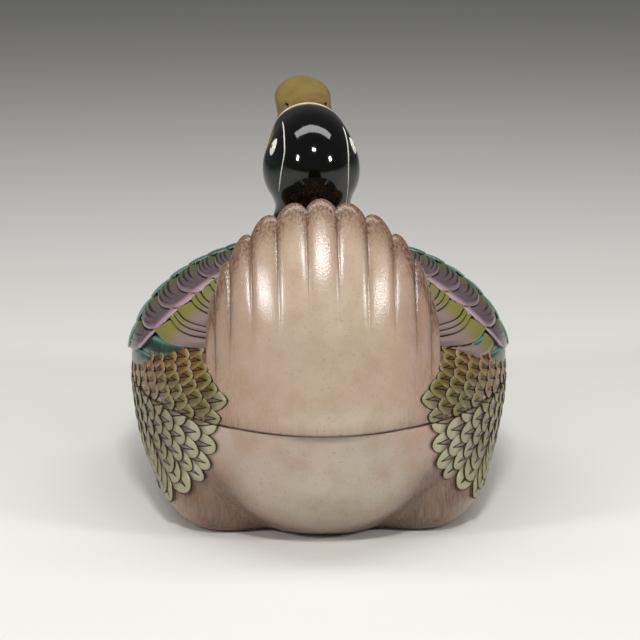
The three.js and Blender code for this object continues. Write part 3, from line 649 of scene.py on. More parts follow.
def painted_scales(name, colours):
    """Overglaze painting on pressed scale feathers: the eye sees olive pads, each with a black outline and a
    thin black V that points to its tip. Brown at their roots and the darker inside of the V are painted
    shade, and the paler raised edge is a painted highlight."""
    material, tree = new_material(name)
    place = node(tree, "ShaderNodeTexCoord").outputs["Object"]
    tint = node(tree, "ShaderNodeAttribute", attribute_name="tint").outputs["Color"]
    rim = node(tree, "ShaderNodeAttribute", attribute_name="rim").outputs["Fac"]
    chart = node(tree, "ShaderNodeUVMap", uv_map="UVMap")
    across, along, _ = node(tree, "ShaderNodeSeparateXYZ", {0: chart.outputs[0]}).outputs
    wash = node(tree, "ShaderNodeTexNoise", {"Vector": place, "Scale": per_metre(6), "Detail": 3.0})
    # Painted highlight: the scale highlight colour on the pad's raised edge, broken up by a noise
    raised = node(
        tree,
        "ShaderNodeMapRange",
        {"Value": rim, "From Min": 0.5, "From Max": 3.2, "To Min": 0.55, "To Max": 0.0},
    )
    uneven = node(
        tree, "ShaderNodeMapRange", {"Value": wash, "From Min": 0.3, "From Max": 0.6, "To Min": 0.25}
    )
    lit = node(tree, "ShaderNodeMath", {0: raised, 1: uneven}, operation="MULTIPLY")
    # Painted shade: brown at each feather's root, where the feather before it laps over it
    root = node(
        tree,
        "ShaderNodeMapRange",
        {"Value": along, "From Min": -0.1, "From Max": 0.16, "To Min": 0.75, "To Max": 0.0},
    )
    # The V closes towards the tip; off_line is the distance to its legs
    aside = node(tree, "ShaderNodeMath", {0: across}, operation="ABSOLUTE")
    opening = node(
        tree,
        "ShaderNodeMapRange",
        {"Value": along, "From Min": -0.2, "From Max": 0.36, "To Min": 0.13, "To Max": -0.012},
    )
    from_line = node(tree, "ShaderNodeMath", {0: aside, 1: opening}, operation="SUBTRACT")
    off_line = node(tree, "ShaderNodeMath", {0: from_line}, operation="ABSOLUTE")
    beside = node(tree, "ShaderNodeMapRange", {"Value": off_line, "From Min": 0.010, "From Max": 0.034})
    past_tip = node(tree, "ShaderNodeMapRange", {"Value": along, "From Min": 0.31, "From Max": 0.35})
    open_field = node(tree, "ShaderNodeMath", {0: beside, 1: past_tip}, operation="MAXIMUM")
    # Painted shade: sepia darkens the inside of the V, the shade of a recessed wedge
    inside = node(
        tree,
        "ShaderNodeMapRange",
        {"Value": from_line, "From Min": -0.05, "From Max": 0.0, "To Min": 0.3, "To Max": 0.0},
    )
    colour = tint
    for cover, coat in ((lit, colours.scale_highlight), (root, colours.brown), (inside, colours.sepia)):
        colour = node(tree, "ShaderNodeMix", {"Factor": cover, "A": colour, "B": coat}, data_type="RGBA")
    drawn = {"Factor": open_field, "A": colours.line, "B": colour}
    colour = node(tree, "ShaderNodeMix", drawn, data_type="RGBA")
    colour = outlined(tree, colour, colours.line, rim, 0.12, 0.4)
    close_material(tree, colour, 0.27, open_field, 0.5 * MM, refraction=1.38)
    return material


def painted_wing(name, colours):
    """Overglaze painting on the moulded wing: soft colour down each feather, black outlines and barbs."""
    material, tree = new_material(name)
    place = node(tree, "ShaderNodeTexCoord").outputs["Object"]
    paint = node(tree, "ShaderNodeAttribute", attribute_name="paint").outputs["Color"]
    rim = node(tree, "ShaderNodeAttribute", attribute_name="rim").outputs["Fac"]
    barbed = node(tree, "ShaderNodeAttribute", attribute_name="barbed").outputs["Fac"]
    chart = node(tree, "ShaderNodeUVMap", uv_map="UVMap")
    across, along, _ = node(tree, "ShaderNodeSeparateXYZ", {0: chart.outputs[0]}).outputs
    wash = node(tree, "ShaderNodeTexNoise", {"Vector": place, "Scale": per_metre(7), "Detail": 4.0})
    shade = node(
        tree, "ShaderNodeMapRange", {"Value": wash, "From Min": 0.35, "From Max": 0.7, "To Max": 0.2}
    )
    colour = node(tree, "ShaderNodeMix", {"Factor": shade, "A": paint, "B": colours.dusk}, data_type="RGBA")
    # Three barbs run down the upper part of each middle feather
    plain = node(tree, "ShaderNodeMath", {0: 1.0, 1: barbed}, operation="SUBTRACT")
    for start, slope, reach in ((-0.75, 0.3, 0.92), (-0.3, 0.35, 0.9), (0.15, 0.35, 0.88)):
        barb = node(tree, "ShaderNodeMath", {0: along, 1: slope, 2: start}, operation="MULTIPLY_ADD")
        aside = node(tree, "ShaderNodeMath", {0: across, 1: barb}, operation="SUBTRACT")
        near = node(tree, "ShaderNodeMath", {0: aside}, operation="ABSOLUTE")
        fading = node(
            tree,
            "ShaderNodeMapRange",
            {"Value": along, "From Min": 0.4, "From Max": reach, "To Min": -0.03, "To Max": 0.12},
        )
        off = node(tree, "ShaderNodeMath", {0: near, 1: fading}, operation="ADD")
        clear = node(tree, "ShaderNodeMath", {0: off, 1: plain}, operation="ADD")
        free = node(tree, "ShaderNodeMapRange", {"Value": clear, "From Min": 0.045, "From Max": 0.12})
        barred = {"Factor": free, "A": colours.line, "B": colour}
        colour = node(tree, "ShaderNodeMix", barred, data_type="RGBA")
    inked = outlined(tree, colour, colours.line, rim, 0.1, 0.4)
    peel = node(tree, "ShaderNodeTexNoise", {"Vector": place, "Scale": per_metre(2.4), "Detail": 2.0})
    close_material(tree, inked, 0.2, peel, 0.2 * MM, refraction=1.42)
    return material


def glossy_glaze(name, first, second, roughness, rooted=False):
    """A high-gloss glaze that drifts a little between two colours, or turns to the second at a root."""
    material, tree = new_material(name)
    place = node(tree, "ShaderNodeTexCoord").outputs["Object"]
    drift = node(tree, "ShaderNodeTexNoise", {"Vector": place, "Scale": per_metre(8), "Detail": 3.0})
    amount = node(
        tree, "ShaderNodeMapRange", {"Value": drift, "From Min": 0.45, "From Max": 0.8, "To Max": 0.5}
    )
    if rooted:
        root = node(tree, "ShaderNodeAttribute", attribute_name="root").outputs["Fac"]
        amount = node(tree, "ShaderNodeMath", {0: root, 1: drift, 2: amount}, operation="MULTIPLY_ADD")
        amount.use_clamp = True
    colour = node(tree, "ShaderNodeMix", {"Factor": amount, "A": first, "B": second}, data_type="RGBA")
    peel = node(tree, "ShaderNodeTexNoise", {"Vector": place, "Scale": per_metre(4), "Detail": 1.0})
    close_material(tree, colour, roughness, peel, 0.1 * MM)
    return material


def head_glaze(name, colours):
    """Iron-black head glaze: a near-black mirror on the crown that turns deep green on the cheeks, with
    the bill's yellow painted back along the cheek."""
    material, tree = new_material(name)
    place = node(tree, "ShaderNodeTexCoord").outputs["Object"]
    green = node(tree, "ShaderNodeAttribute", attribute_name="green").outputs["Fac"]
    gape = node(tree, "ShaderNodeAttribute", attribute_name="gape").outputs["Fac"]
    downward = node(tree, "ShaderNodeVectorMath", {0: place, 1: (1, 1, 0.15)}, operation="MULTIPLY")
    runs = node(tree, "ShaderNodeTexNoise", {"Vector": downward, "Scale": per_metre(4), "Detail": 3.0})
    runny = node(
        tree, "ShaderNodeMapRange", {"Value": runs, "From Min": 0.42, "From Max": 0.7, "To Min": 0.35}
    )
    greened = node(tree, "ShaderNodeMath", {0: green, 1: runny}, operation="MULTIPLY")
    yellowed = node(tree, "ShaderNodeMapRange", {"Value": gape, "From Min": -0.2, "From Max": 0.3})
    colour = colours.crown
    for cover, coat in ((greened, colours.cheek), (yellowed, colours.bill)):
        colour = node(tree, "ShaderNodeMix", {"Factor": cover, "A": colour, "B": coat}, data_type="RGBA")
    peel = node(tree, "ShaderNodeTexNoise", {"Vector": place, "Scale": per_metre(5), "Detail": 1.0})
    close_material(tree, colour, 0.08, peel, 0.06 * MM)
    return material


def glaze_tones():
    """The scene's glaze colours by name."""
    glazes = bpy.context.scene.glazes
    return SimpleNamespace(**{name: np.array(getattr(glazes, name)) for name in Glazes.__annotations__})


def materials():
    """The tureen's finishes, made once and looked up by name."""
    made = bpy.data.materials
    if "glazed_stoneware_beige" in made:
        return made
    colours = glaze_tones()
    glazed_stoneware("glazed_stoneware_beige", colours, colours.pink, colours.tan)
    glazed_stoneware("glazed_stoneware_grey", colours, colours.pink, colours.grey, softest=0.8)
    glazed_stoneware("glazed_stoneware_cream", colours, colours.cream, colours.grey, painted=False)
    bare_stoneware("bare_stoneware", colours)
    painted_scales("overglaze_painted_scales", colours)
    painted_wing("overglaze_painted_wing", colours)
    head_glaze("black_green_glaze", colours)
    glossy_glaze("white_slip_glaze", colours.white, colours.cream, 0.12)
    glossy_glaze("black_iron_glaze", colours.crown, colours.line, 0.08)
    glossy_glaze("olive_yellow_glaze", colours.bill, colours.bill_root, 0.28, rooted=True)
    glossy_glaze("cream_slip_glaze", colours.cream, colours.white, 0.25)
    return made


class Wall:
    """The rings of a thrown wall, taken once round its section, with what its glaze reads there."""

    def __init__(self, turn):
        self.turn, self.rings, self.bands = turn, [], []
        self.layers = {"wash": [], "line": [], "thin": []}

    def ring(self, points, band, wash=0.0, line=9.0, thin=0.0):
        """Adds a ring: its finish, its brown (on the bowl and at the seam, painted shade), how far the dark
        line at the seam is (painted shade), and its paler cream (painted light).
        """
        self.rings.append(points)
        self.bands.append(band)
        for layer, value in (("wash", wash), ("line", line), ("thin", thin)):
            self.layers[layer].append(value + 0 * self.turn)

    def mesh(self, name, *finishes):
        shells = Shells()
        shells.add(self.rings, np.array(self.bands)[1:], **self.layers)
        return shells.mesh(name, [materials()[finish] for finish in finishes])


class TUREEN_OT_bowl(bpy.types.Operator):
    """Throw the bowl: haunches and creases outside, a cream glazed hollow, a bare rim and foot ring"""

    bl_idname = "tureen.bowl"
    bl_label = "Bowl"

    def execute(self, context):
        bowl = read("bowl_sizes")
        turn = np.linspace(0, 2 * math.pi, 420, endpoint=False)
        turn = np.where(turn > math.pi, turn - 2 * math.pi, turn)
        wall = Wall(turn)
        recess = foot_oval(bowl, bowl.foot_width)
        recess[1] -= bowl.crease_depth
        for part in (0.02, 0.3, 0.6, 0.9, 0.985):
            wall.ring(plan_ring(*[size * part for size in recess], turn, bowl.recess), INSIDE)
        wall.ring(plan_ring(*recess, turn, bowl.recess - 0.5), BARE)
        wall.ring(plan_ring(*recess, turn, 0.4), BARE)
        wall.ring(plan_ring(*[size + 0.4 for size in recess], turn, 0.0), BARE)
        for step in (0, 0.3, 0.6, 0.85, 1.0):
            z = bowl.lip * (1 - math.sqrt(1 - step**2))
            rise = z / bowl.rim_height + 0 * turn
            wall.ring(bowl_skin(bowl, turn, rise, bowl.lip * (1 - step)), BARE if step < 0.85 else OUTSIDE)
        lip_rise = bowl.lip / bowl.rim_height
        for rise in lip_rise + (1 - 2 * lip_rise) * np.linspace(0, 1, 72)[1:] ** 1.25:
            z = rise * bowl.rim_height
            skin = bowl_skin(bowl, turn, rise + 0 * turn)
            below_rim = bowl.rim_height - z
            # Brown from wash() and the dark line below the rim are painted shade; the paler cream from bare()
            # is painted light
            wall.ring(skin, OUTSIDE, self.wash(bowl, turn, z), 2 * below_rim, self.bare(turn, z))
        # The rim's rounded edge takes brown and the dark seam line: painted shade in the seam
        for step in (0.35, 0.65, 0.88, 1.0):
            z = bowl.rim_height - bowl.lip * (1 - step)
            inset = bowl.lip * (1 - math.sqrt(1 - step**2))
            wall.ring(bowl_skin(bowl, turn, z / bowl.rim_height + 0 * turn, inset), OUTSIDE, 0.5, 0.0)
        wall.ring(rim_ring(bowl, bowl.wall - bowl.lip, turn, bowl.rim_height), BARE)
        floor = foot_oval(bowl, bowl.floor_inset)
        half_length = bowl.rim_half_length - bowl.wall
        rim = [bowl.rim_half_width - bowl.wall, half_length, half_length]
        for rise in np.linspace(1 - 1.5 * lip_rise, 0.0, 40):
            spread = quarter(1 - rise, bowl.bulge)
            sizes = [lerp(a, b, spread) for a, b in zip(floor, rim)]
            wall.ring(plan_ring(*sizes, turn, lerp(bowl.floor, bowl.rim_height, rise)), INSIDE)
        for part in (0.97, 0.8, 0.5, 0.2, 0.02):
            height = bowl.floor - 0.4 * (1 - part)
            wall.ring(plan_ring(*[size * part for size in floor], turn, height), INSIDE)
        body = wall.mesh("bowl_body", "glazed_stoneware_grey", "glazed_stoneware_cream", "bare_stoneware")
        put(body, "bowl", "body_glaze", "bowl")
        return {"FINISHED"}

    def wash(self, bowl, turn, z):
        """Painted shade in brown: in the creases, under the scale feathers, round the foot and along the
        sides, less on the haunches.
        """
        haunch, _ = bowl_folds(bowl, turn, z)
        # Painted shade along the sides, which turn away from the lamps
        sides = ease((np.abs(np.sin(turn)) - 0.25) / 0.5) * bump(z / 55)
        # Painted shade in the crease beside each haunch
        fold = (np.abs(turn) - bowl.crease_angle - math.radians(0.7) * z) / bowl.crease_spread
        crease_shade = bump(fold / 1.5) * ease(1.4 - z / 50)
        # Painted shade under the lower edge of the scale feathers
        shade_under_scales = ease((np.abs(turn) - bowl.crease_angle) / 0.3) * bump((z - 34) / 15)
        # Painted shade round the foot, which faces down
        low = 0.6 * bump(z / 12)
        return np.clip(crease_shade + 0.75 * shade_under_scales + low + 0.3 * sides * (1 - haunch), 0, 0.85)

    def bare(self, turn, z):
        """Painted light: paler cream on the middle of the belly's bulge, at the tail and the breast."""
        return 0.9 * bump(np.sin(turn) / 0.36) * bump((z - 36) / 26)


class TUREEN_OT_lid(bpy.types.Operator):
    """Make the lid's domed shell and the locating flange under it"""

    bl_idname = "tureen.lid"
    bl_label = "Lid"

    def execute(self, context):
        bowl, lid = read("bowl_sizes"), read("lid_sizes")
        turn = np.linspace(0, 2 * math.pi, 300, endpoint=False)
        wall = Wall(turn)
        for lift in np.linspace(0.985, 0.0, 60):
            points = lid_skin(bowl, lid, turn, lift)
            height = points[0, 2] - lid.base
            if height > lid.lip:
                # The dark line just above the seam is painted shade; the 0.3 of brown is an even tone
                wall.ring(points, OUTSIDE, 0.3, 2 * height)
        # The rounded lower edge takes brown and the dark seam line: painted shade in the seam
        for step in (0.35, 0.65, 0.88, 1.0):
            inset = lid.lip * (1 - math.sqrt(1 - step**2))
            wall.ring(rim_ring(bowl, inset, turn, lid.base + lid.lip * (1 - step)), OUTSIDE, 0.5, 0.0)
        wall.ring(rim_ring(bowl, lid.wall - lid.lip, turn, lid.base), BARE)
        for lift in np.linspace(0.01, 0.985, 40):
            wall.ring(lid_skin(bowl, lid, turn, lift, -lid.wall), INSIDE)
        dome = wall.mesh("lid_dome", "glazed_stoneware_beige", "glazed_stoneware_cream", "bare_stoneware")
        put(dome, "lid", "body_glaze", "lid_shell")

        outer, inner, seat = lid.flange_clear, lid.flange_clear + lid.flange_wall, lid.wall + 0.3
        foot, head = lid.base - lid.flange_depth, lid.base + lid.flange_seat
        profile = [
            (outer + 1, foot),
            (outer, foot + 1),
            (outer, lid.base + 1),
            (seat + 0.2, lid.base + 2.5),
            (seat + 1.6, head),
            (inner, head),
            (inner, foot + 1),
            (inner - 1, foot),
        ]
        shells = Shells()
        shells.add([rim_ring(bowl, inset, turn, z) for inset, z in profile], ends="hoop")
        flange = shells.mesh("lid_flange_ring", [materials()["bare_stoneware"]])
        put(flange, "lid", "bare_clay", "lid_flange")
        return {"FINISHED"}


def dome_back(bowl, lid, x, z):
    """Where the lid's rear surface lies at a width and a height."""
    high = np.clip((z - lid.base) / lid.rise, 0, 1)
    plan = quarter(high, lid.bulge)
    return -bowl.rim_half_length * np.sqrt(np.maximum(plan**2 - (x / bowl.rim_half_width) ** 2, 0))


def tail_rings(bowl, lid, tail):
    """The rump from the seam up and the fluted fan above it, as rings round one leaning plate."""
    phase = np.linspace(-tail.lobes / 2, tail.lobes / 2, tail.lobes * 20 + 1)
    # The outermost feather on each side takes what the others leave
    inner = tail.lobes / 2 - 1
    turned = np.interp(np.abs(phase), (0, inner, inner + 1), (0, inner * tail.lobe_turn, math.pi / 2))
    turn = turned * np.sign(phase)
    lobe = np.abs(np.cos(math.pi * phase)) ** 0.7
    number = np.round(phase)
    across = phase - number
    # Each feather tucks under its inner neighbour, so its outer edge stands higher than its inner one
    tuck = np.sign(number) * across * tail.tuck * (1 - np.abs(2 * across) ** 6)
    outline = quarter(np.abs(np.sin(turn)), tail.roundness)
    edge = tail.shoulder + (tail.rise - tail.shoulder) * outline - tail.notch * (1 - lobe)
    side = 2.0
    x = (tail.half_width - side) * np.sin(turn)
    rounding = np.linspace(0, math.pi, 8)[1:-1]
    rings, wash, line, thin = [], [], [], []
    rows, round_rows = 100, 7
    around_tail = np.abs(np.sin(turn))
    spacing = np.hypot(np.cos(turn), 2 * tail.crown / tail.half_width * around_tail * np.cos(turn))
    from_groove = (0.5 - np.abs(across)) * spacing * tail.half_width * np.gradient(turn, phase)
    line_reach = lerp(0.87, 1.25, around_tail**3) * tail.flute_reach
    for i in range(rows + round_rows):
        over = max(i - rows + 1, 0) / round_rows * math.pi / 2
        tip = tail.tip_thickness / 2
        height = (edge - tip) * min(i / (rows - 1), 1.0) ** 0.9 + tip * math.sin(over)
        thickness = lerp(tail.root_thickness, tail.tip_thickness, np.clip(height / tail.rise, 0, 1))
        lean = np.clip((height - tail.turn) / (tail.rise - tail.turn), 0, 1.1)
        fluted = np.clip(1 - (edge - height) / tail.flute_reach, 0, 1) ** 0.7
        # The feathers are round at their tips and lie flat below them, with narrow grooves between
        fold = lerp(np.abs(2 * across) ** 6, 1 - lobe, bump((edge - height) / 12))
        hollow = (tail.flute_depth * fold - tuck) * fluted
        bowed = tail.crown * (x / tail.half_width) ** 2
        y = bowed - (bowl.rim_half_length + tail.proud) + tail.lean * lean**2
        front = y + thickness - 0.6 * hollow
        y = y + hollow
        middle = (y + front) / 2
        shrink = max(math.cos(over), 0.04)
        y, front = lerp(middle, y, shrink), lerp(middle, front, shrink)
        z = lid.base + height
        dome = dome_back(bowl, lid, x, z)
        on_dome = height < lid.rise
        rear = np.where(on_dome, joined(y, dome - 0.35, tail.join), y)
        under = np.clip(1 - height / lid.lip, 0, 1)
        rear = rear + lid.lip * (1 - np.sqrt(1 - under**2))
        fillet = np.where(on_dome, 4.0 * bump(np.maximum(dome - front, 0) / 5.0), 0.0)
        face = np.minimum(front + fillet, np.where(on_dome, dome + 3.0, 1e3))
        shift = tail.sway * np.clip(height / tail.rise, 0, 1) ** 2
        around = (1 - np.cos(rounding)) / 2
        right = stack(x[-1] + shift[-1] + side * np.sin(rounding), lerp(rear[-1], face[-1], around), z[-1])
        left = stack(x[0] + shift[0] - side * np.sin(rounding), lerp(face[0], rear[0], around), z[0])
        ring = np.vstack([stack(x + shift, rear, z), right, stack(x + shift, face, z)[::-1], left])
        rings.append(np.roll(ring, len(left) // 2, axis=0))
        below = np.maximum(edge - height, 0)
        fading = np.clip(1 - below / line_reach, 0, 1)
        # Painted shade: a dark line down each groove, fading downward
        traced = from_groove + 0.75 + 1.3 * ease(1 - 1.5 * fading)
        # Painted shade: brown beside each groove
        beside = bump(from_groove / 3.0) * ease(fading * 1.6)
        # Brown over the feathers' tips and the outer feathers is brushwork; beside the grooves and low on the
        # fan, over the seam, it is painted shade
        outer = ease((around_tail - 0.5) / 0.4)
        brushwork_and_shade = bump(below / 13) + 0.34 * outer + 0.35 * beside + 0.3 * bump(height / 6)
        # Painted light: paler cream in the middle of the rump, and in a patch just above the seam right of
        # the middle
        pale = 0.5 * bump(x / 45) * bump((height - 60) / 50)
        pale = pale + 0.6 * bump((x - 12) / 35) * bump((height - 7) / 9)
        # The dark line also runs along the seam: painted shade
        drawn = np.minimum(traced, 2 * height)
        spare = np.full(len(left), 0.3)
        for layer, back_side, front_side in (
            (wash, brushwork_and_shade, brushwork_and_shade),
            (line, drawn, drawn + 1.0),
            (thin, pale, 0 * pale),
        ):
            values = np.concatenate([back_side, spare, front_side[::-1], spare])
            layer.append(np.roll(values, len(left) // 2))
    return np.array(rings), {"wash": np.clip(wash, 0, 1), "line": np.array(line), "thin": np.array(thin)}


class TUREEN_OT_tail(bpy.types.Operator):
    """Press the rump and the fluted tail fan as one piece that rises from the seam"""

    bl_idname = "tureen.tail"
    bl_label = "Tail"

    def execute(self, context):
        rings, layers = tail_rings(read("bowl_sizes"), read("lid_sizes"), read("tail_sizes"))
        shells = Shells()
        shells.add(rings, ends="zip", **layers)
        finish = [materials()["glazed_stoneware_beige"]]
        put(shells.mesh("tail_and_rump", finish), "lid", "body_glaze", "tail_fan")
        return {"FINISHED"}


class Unrolled:
    """Half a skin laid flat in millimetres: s runs from tail to breast, h up from the lower edge."""

    def __init__(self, skin, full_rise):
        self.skin = skin
        self.turns = np.linspace(0, math.pi, 721)
        edge = skin(self.turns, np.full(721, full_rise))
        self.s_marks = np.append(0, np.cumsum(np.linalg.norm(np.diff(edge, axis=0), axis=1)))
        self.rises = np.linspace(0, 0.995, 400)
        line = skin(np.full(400, math.pi / 2), self.rises)
        self.h_marks = np.append(0, np.cumsum(np.linalg.norm(np.diff(line, axis=0), axis=1)))
        self.length, self.height = self.s_marks[-1], self.h_marks[-1]

    def at(self, s, h):
        turn = np.interp(s, self.s_marks, self.turns)
        return self.skin(np.array([turn]), np.array([np.interp(h, self.h_marks, self.rises)]))[0]

    def frame(self, s, h):
        """The point, and how far it moves for each millimetre along s and along h."""
        s0, s1 = max(s - 0.5, 0), min(s + 0.5, self.length)
        h0, h1 = max(h - 0.5, 0), min(h + 0.5, self.height)
        along_s = (self.at(s1, h) - self.at(s0, h)) / (s1 - s0)
        along_h = (self.at(s, h1) - self.at(s, h0)) / (h1 - h0)
        return self.at(s, h), along_s, along_h


def rows_of_scales(flat, value, pointing, first, step, pitch, low, high):
    """Walks the lines on which value is constant, and leaves a feather at each pitch, its tip turned
    down by what pointing says. A place is a point, its outward direction and its tip's direction."""
    places = []

    def slope(s, h):
        return value(s + 0.5, h) - value(s - 0.5, h), value(s, h + 0.5) - value(s, h - 0.5)

    breast = value(flat.length, low)
    top = value(flat.length, high)
    level, row = first, 0
    while level < top:
        marks = np.linspace(0, flat.length, 500)
        if level > breast:
            heights = np.linspace(low, high, 200)
            s, h = flat.length, float(np.interp(level, [value(flat.length, x) for x in heights], heights))
            heading = -1
        else:
            values = [value(x, high) for x in marks]
            s, h = float(np.interp(level, values, marks)), high
            heading = 1
        gone = pitch * (0.5 if row % 2 else 0.0)
        for _ in range(4000):
            gs, gh = slope(s, h)
            gs = max(gs, 1e-4)
            point, along_s, along_h = flat.frame(s, h)
            if gone <= 0:
                outward = unit(np.cross(along_s, along_h))
                droop = pointing(s, h)
                tip = -math.cos(droop) * unit(along_s) - math.sin(droop) * unit(np.cross(outward, along_s))
                places.append((point, outward, unit(tip), s, h))
                gone += pitch
            ds, dh = heading * gh, -heading * gs
            speed = np.linalg.norm(ds * along_s + dh * along_h)
            # One millimetre along the row, then back onto its line
            s, h = s + ds / speed, h + dh / speed
            gs, gh = slope(s, h)
            off = (level - value(s, h)) / (gs * gs + gh * gh)
            s, h = s + gs * off, h + gh * off
            gone -= 1.0
            if not (0 <= s <= flat.length and low <= h <= high):
                break
        level += step
        row += 1
    return places


def feather_template(material, pointed):
    """One scale feather a unit long and wide, pillow-shaped, its tip at +Y, on a few dozen faces."""
    around = np.linspace(0, 2 * math.pi, 18, endpoint=False)
    x, y = np.sin(around), -np.cos(around)
    x = 0.5 * x * np.where(y > 0, 1 - pointed * np.abs(y) ** 1.5, 1 - 0.25 * y**2)
    y = 0.5 * y
    rings, rim, uv = [], [], []
    # Share of the outline, height, and distance to the painted edge in millimetres
    steps = ((0.12, 1.0, 5.5), (0.55, 0.9, 2.9), (0.85, 0.6, 0.95), (1.0, 0.1, 0.0), (0.96, -0.9, 0.45))
    for out, rise, edge in steps:
        rings.append(stack(x * out, y * out, rise * 0.5))
        rim.append(np.full(18, edge))
        uv.append(stack(x * out, y * out))
    shells = Shells()
    shells.add(rings, rim=np.array(rim), uv=np.array(uv))
    mesh = shells.mesh("scale_template", [material])
    places = np.concatenate(shells.points)
    mesh.vertices.foreach_set("co", places.ravel())
    template = bpy.data.objects.new("scale_template", mesh)
    bpy.context.scene.collection.objects.link(template)
    return template


def scale_tree():
    """A tree that sets one feather on each point, turned by the point's own axes."""
    tree = bpy.data.node_groups.new("scale_feathers", "GeometryNodeTree")
    face = tree.interface
    sockets = {"Geometry": face.new_socket("Geometry", in_out="INPUT", socket_type="NodeSocketGeometry")}
    for name, kind in (
        ("Feather", "NodeSocketObject"),
        ("Width", "NodeSocketFloat"),
        ("Length", "NodeSocketFloat"),
        ("Depth", "NodeSocketFloat"),
        ("Tilt", "NodeSocketFloat"),
        ("Unevenness", "NodeSocketFloat"),
        ("Seed", "NodeSocketInt"),
        ("Glaze", "NodeSocketMaterial"),
    ):
        sockets[name] = face.new_socket(name, in_out="INPUT", socket_type=kind)
    face.new_socket("Geometry", in_out="OUTPUT", socket_type="NodeSocketGeometry")
    given = node(tree, "NodeGroupInput").outputs
    outward = node(tree, "GeometryNodeInputNamedAttribute", {"Name": "outward"}, data_type="FLOAT_VECTOR")
    tip = node(tree, "GeometryNodeInputNamedAttribute", {"Name": "towards_tip"}, data_type="FLOAT_VECTOR")
    grown = node(tree, "GeometryNodeInputNamedAttribute", {"Name": "grown"}, data_type="FLOAT")
    facing = node(
        tree,
        "FunctionNodeAxesToRotation",
        {"Primary Axis": outward.outputs[0], "Secondary Axis": tip.outputs[0]},
        primary_axis="Z",
        secondary_axis="Y",
    )
    drawn = {"Min": -1.0, "Max": 1.0, "Seed": given["Seed"]}
    chance = node(tree, "FunctionNodeRandomValue", drawn, data_type="FLOAT")
    varied = {0: chance, 1: given["Unevenness"], 2: 1.0}
    wobble = node(tree, "ShaderNodeMath", varied, operation="MULTIPLY_ADD")
    tilted = node(tree, "ShaderNodeMath", {0: given["Tilt"], 1: wobble}, operation="MULTIPLY")
    lifted = node(tree, "ShaderNodeCombineXYZ", {"X": tilted})
    lift = node(tree, "FunctionNodeEulerToRotation", {0: lifted})
    turned = node(
        tree, "FunctionNodeRotateRotation", {"Rotation": facing, "Rotate By": lift}, rotation_space="LOCAL"
    )
    sides = {"X": given["Width"], "Y": given["Length"], "Z": given["Depth"]}
    size = node(tree, "ShaderNodeCombineXYZ", sides)
    amount = node(tree, "ShaderNodeMath", {0: grown.outputs[0], 1: wobble}, operation="MULTIPLY")
    scaled = node(tree, "ShaderNodeVectorMath", {0: size, "Scale": amount}, operation="SCALE")
    feather = node(tree, "GeometryNodeObjectInfo", {"Object": given["Feather"]})
    spread = node(
        tree,
        "GeometryNodeInstanceOnPoints",
        {
            "Points": given["Geometry"],
            "Instance": feather.outputs["Geometry"],
            "Rotation": turned,
            "Scale": scaled.outputs[0],
        },
    )
    real = node(tree, "GeometryNodeRealizeInstances", {"Geometry": spread.outputs[0]})
    glazed = {"Geometry": real.outputs[0], "Material": given["Glaze"]}
    painted = node(tree, "GeometryNodeSetMaterial", glazed)
    node(tree, "NodeGroupOutput", {"Geometry": painted.outputs[0]})
    return tree, {name: socket.identifier for name, socket in sockets.items()}


def spread_scales(body, places, pitch, step, pointed, sizes, seam):
    """Sets feathers on places, makes them one plain mesh, and cuts it clean at the seam."""
    name = body + "_scales"
    # A feather is wider than the pitch and longer than the step, so that it laps its neighbours
    width, long = pitch * 1.16, step * 1.85
    points = np.array([p["at"] for p in places]) * MM + CENTRE
    mesh = bpy.data.meshes.new(name + "_places")
    mesh.from_pydata(points.tolist(), [], [])
    for key, kind, field in (
        ("outward", "FLOAT_VECTOR", "vector"),
        ("towards_tip", "FLOAT_VECTOR", "vector"),
        ("grown", "FLOAT", "value"),
        ("tint", "FLOAT_COLOR", "color"),
    ):
        values = np.array([p[key] for p in places], float)
        if key == "tint":
            values = np.hstack([values, np.ones((len(values), 1))])
        mesh.attributes.new(key, kind, "POINT").data.foreach_set(field, values.ravel())
    seeded = bpy.data.objects.new(name + "_places", mesh)
    bpy.context.scene.collection.objects.link(seeded)
    material = materials()["overglaze_painted_scales"]
    template = feather_template(material, pointed)
    tree, sockets = scale_tree()
    modifier = seeded.modifiers.new("Feathers", "NODES")
    modifier.node_group = tree
    for key, value in {
        "Feather": template,
        "Width": width * MM,
        "Length": long * MM,
        "Depth": sizes.depth * MM,
        "Tilt": sizes.tilt,
        "Unevenness": sizes.unevenness,
        "Seed": sizes.seed,
        "Glaze": material,
    }.items():
        modifier[sockets[key]] = value
    bpy.context.view_layer.update()
    plain = bpy.data.meshes.new_from_object(seeded.evaluated_get(bpy.context.evaluated_depsgraph_get()))
    plain.name = name
    bpy.data.objects.remove(seeded)
    bpy.data.objects.remove(template)
    if not plain.polygons:
        raise RuntimeError(f"the tree made no feathers for {name}")
    for spare in ("outward", "towards_tip", "grown"):
        if spare in plain.attributes:
            plain.attributes.remove(plain.attributes[spare])
    worked = bmesh.new()
    worked.from_mesh(plain)
    heading = Vector((0, 0, 1 if body == "bowl" else -1))
    everything = worked.verts[:] + worked.edges[:] + worked.faces[:]
    cut = bmesh.ops.bisect_plane(
        worked,
        geom=everything,
        dist=1e-6,
        plane_co=(0, 0, seam * MM),
        plane_no=heading,
        clear_outer=True,
    )
    edges = [part for part in cut["geom_cut"] if isinstance(part, bmesh.types.BMEdge)]
    bmesh.ops.holes_fill(worked, edges=edges, sides=0)
    for face in worked.faces:
        face.smooth = True
    worked.to_mesh(plain)
    worked.free()
    put(plain, body, "wing_glaze")


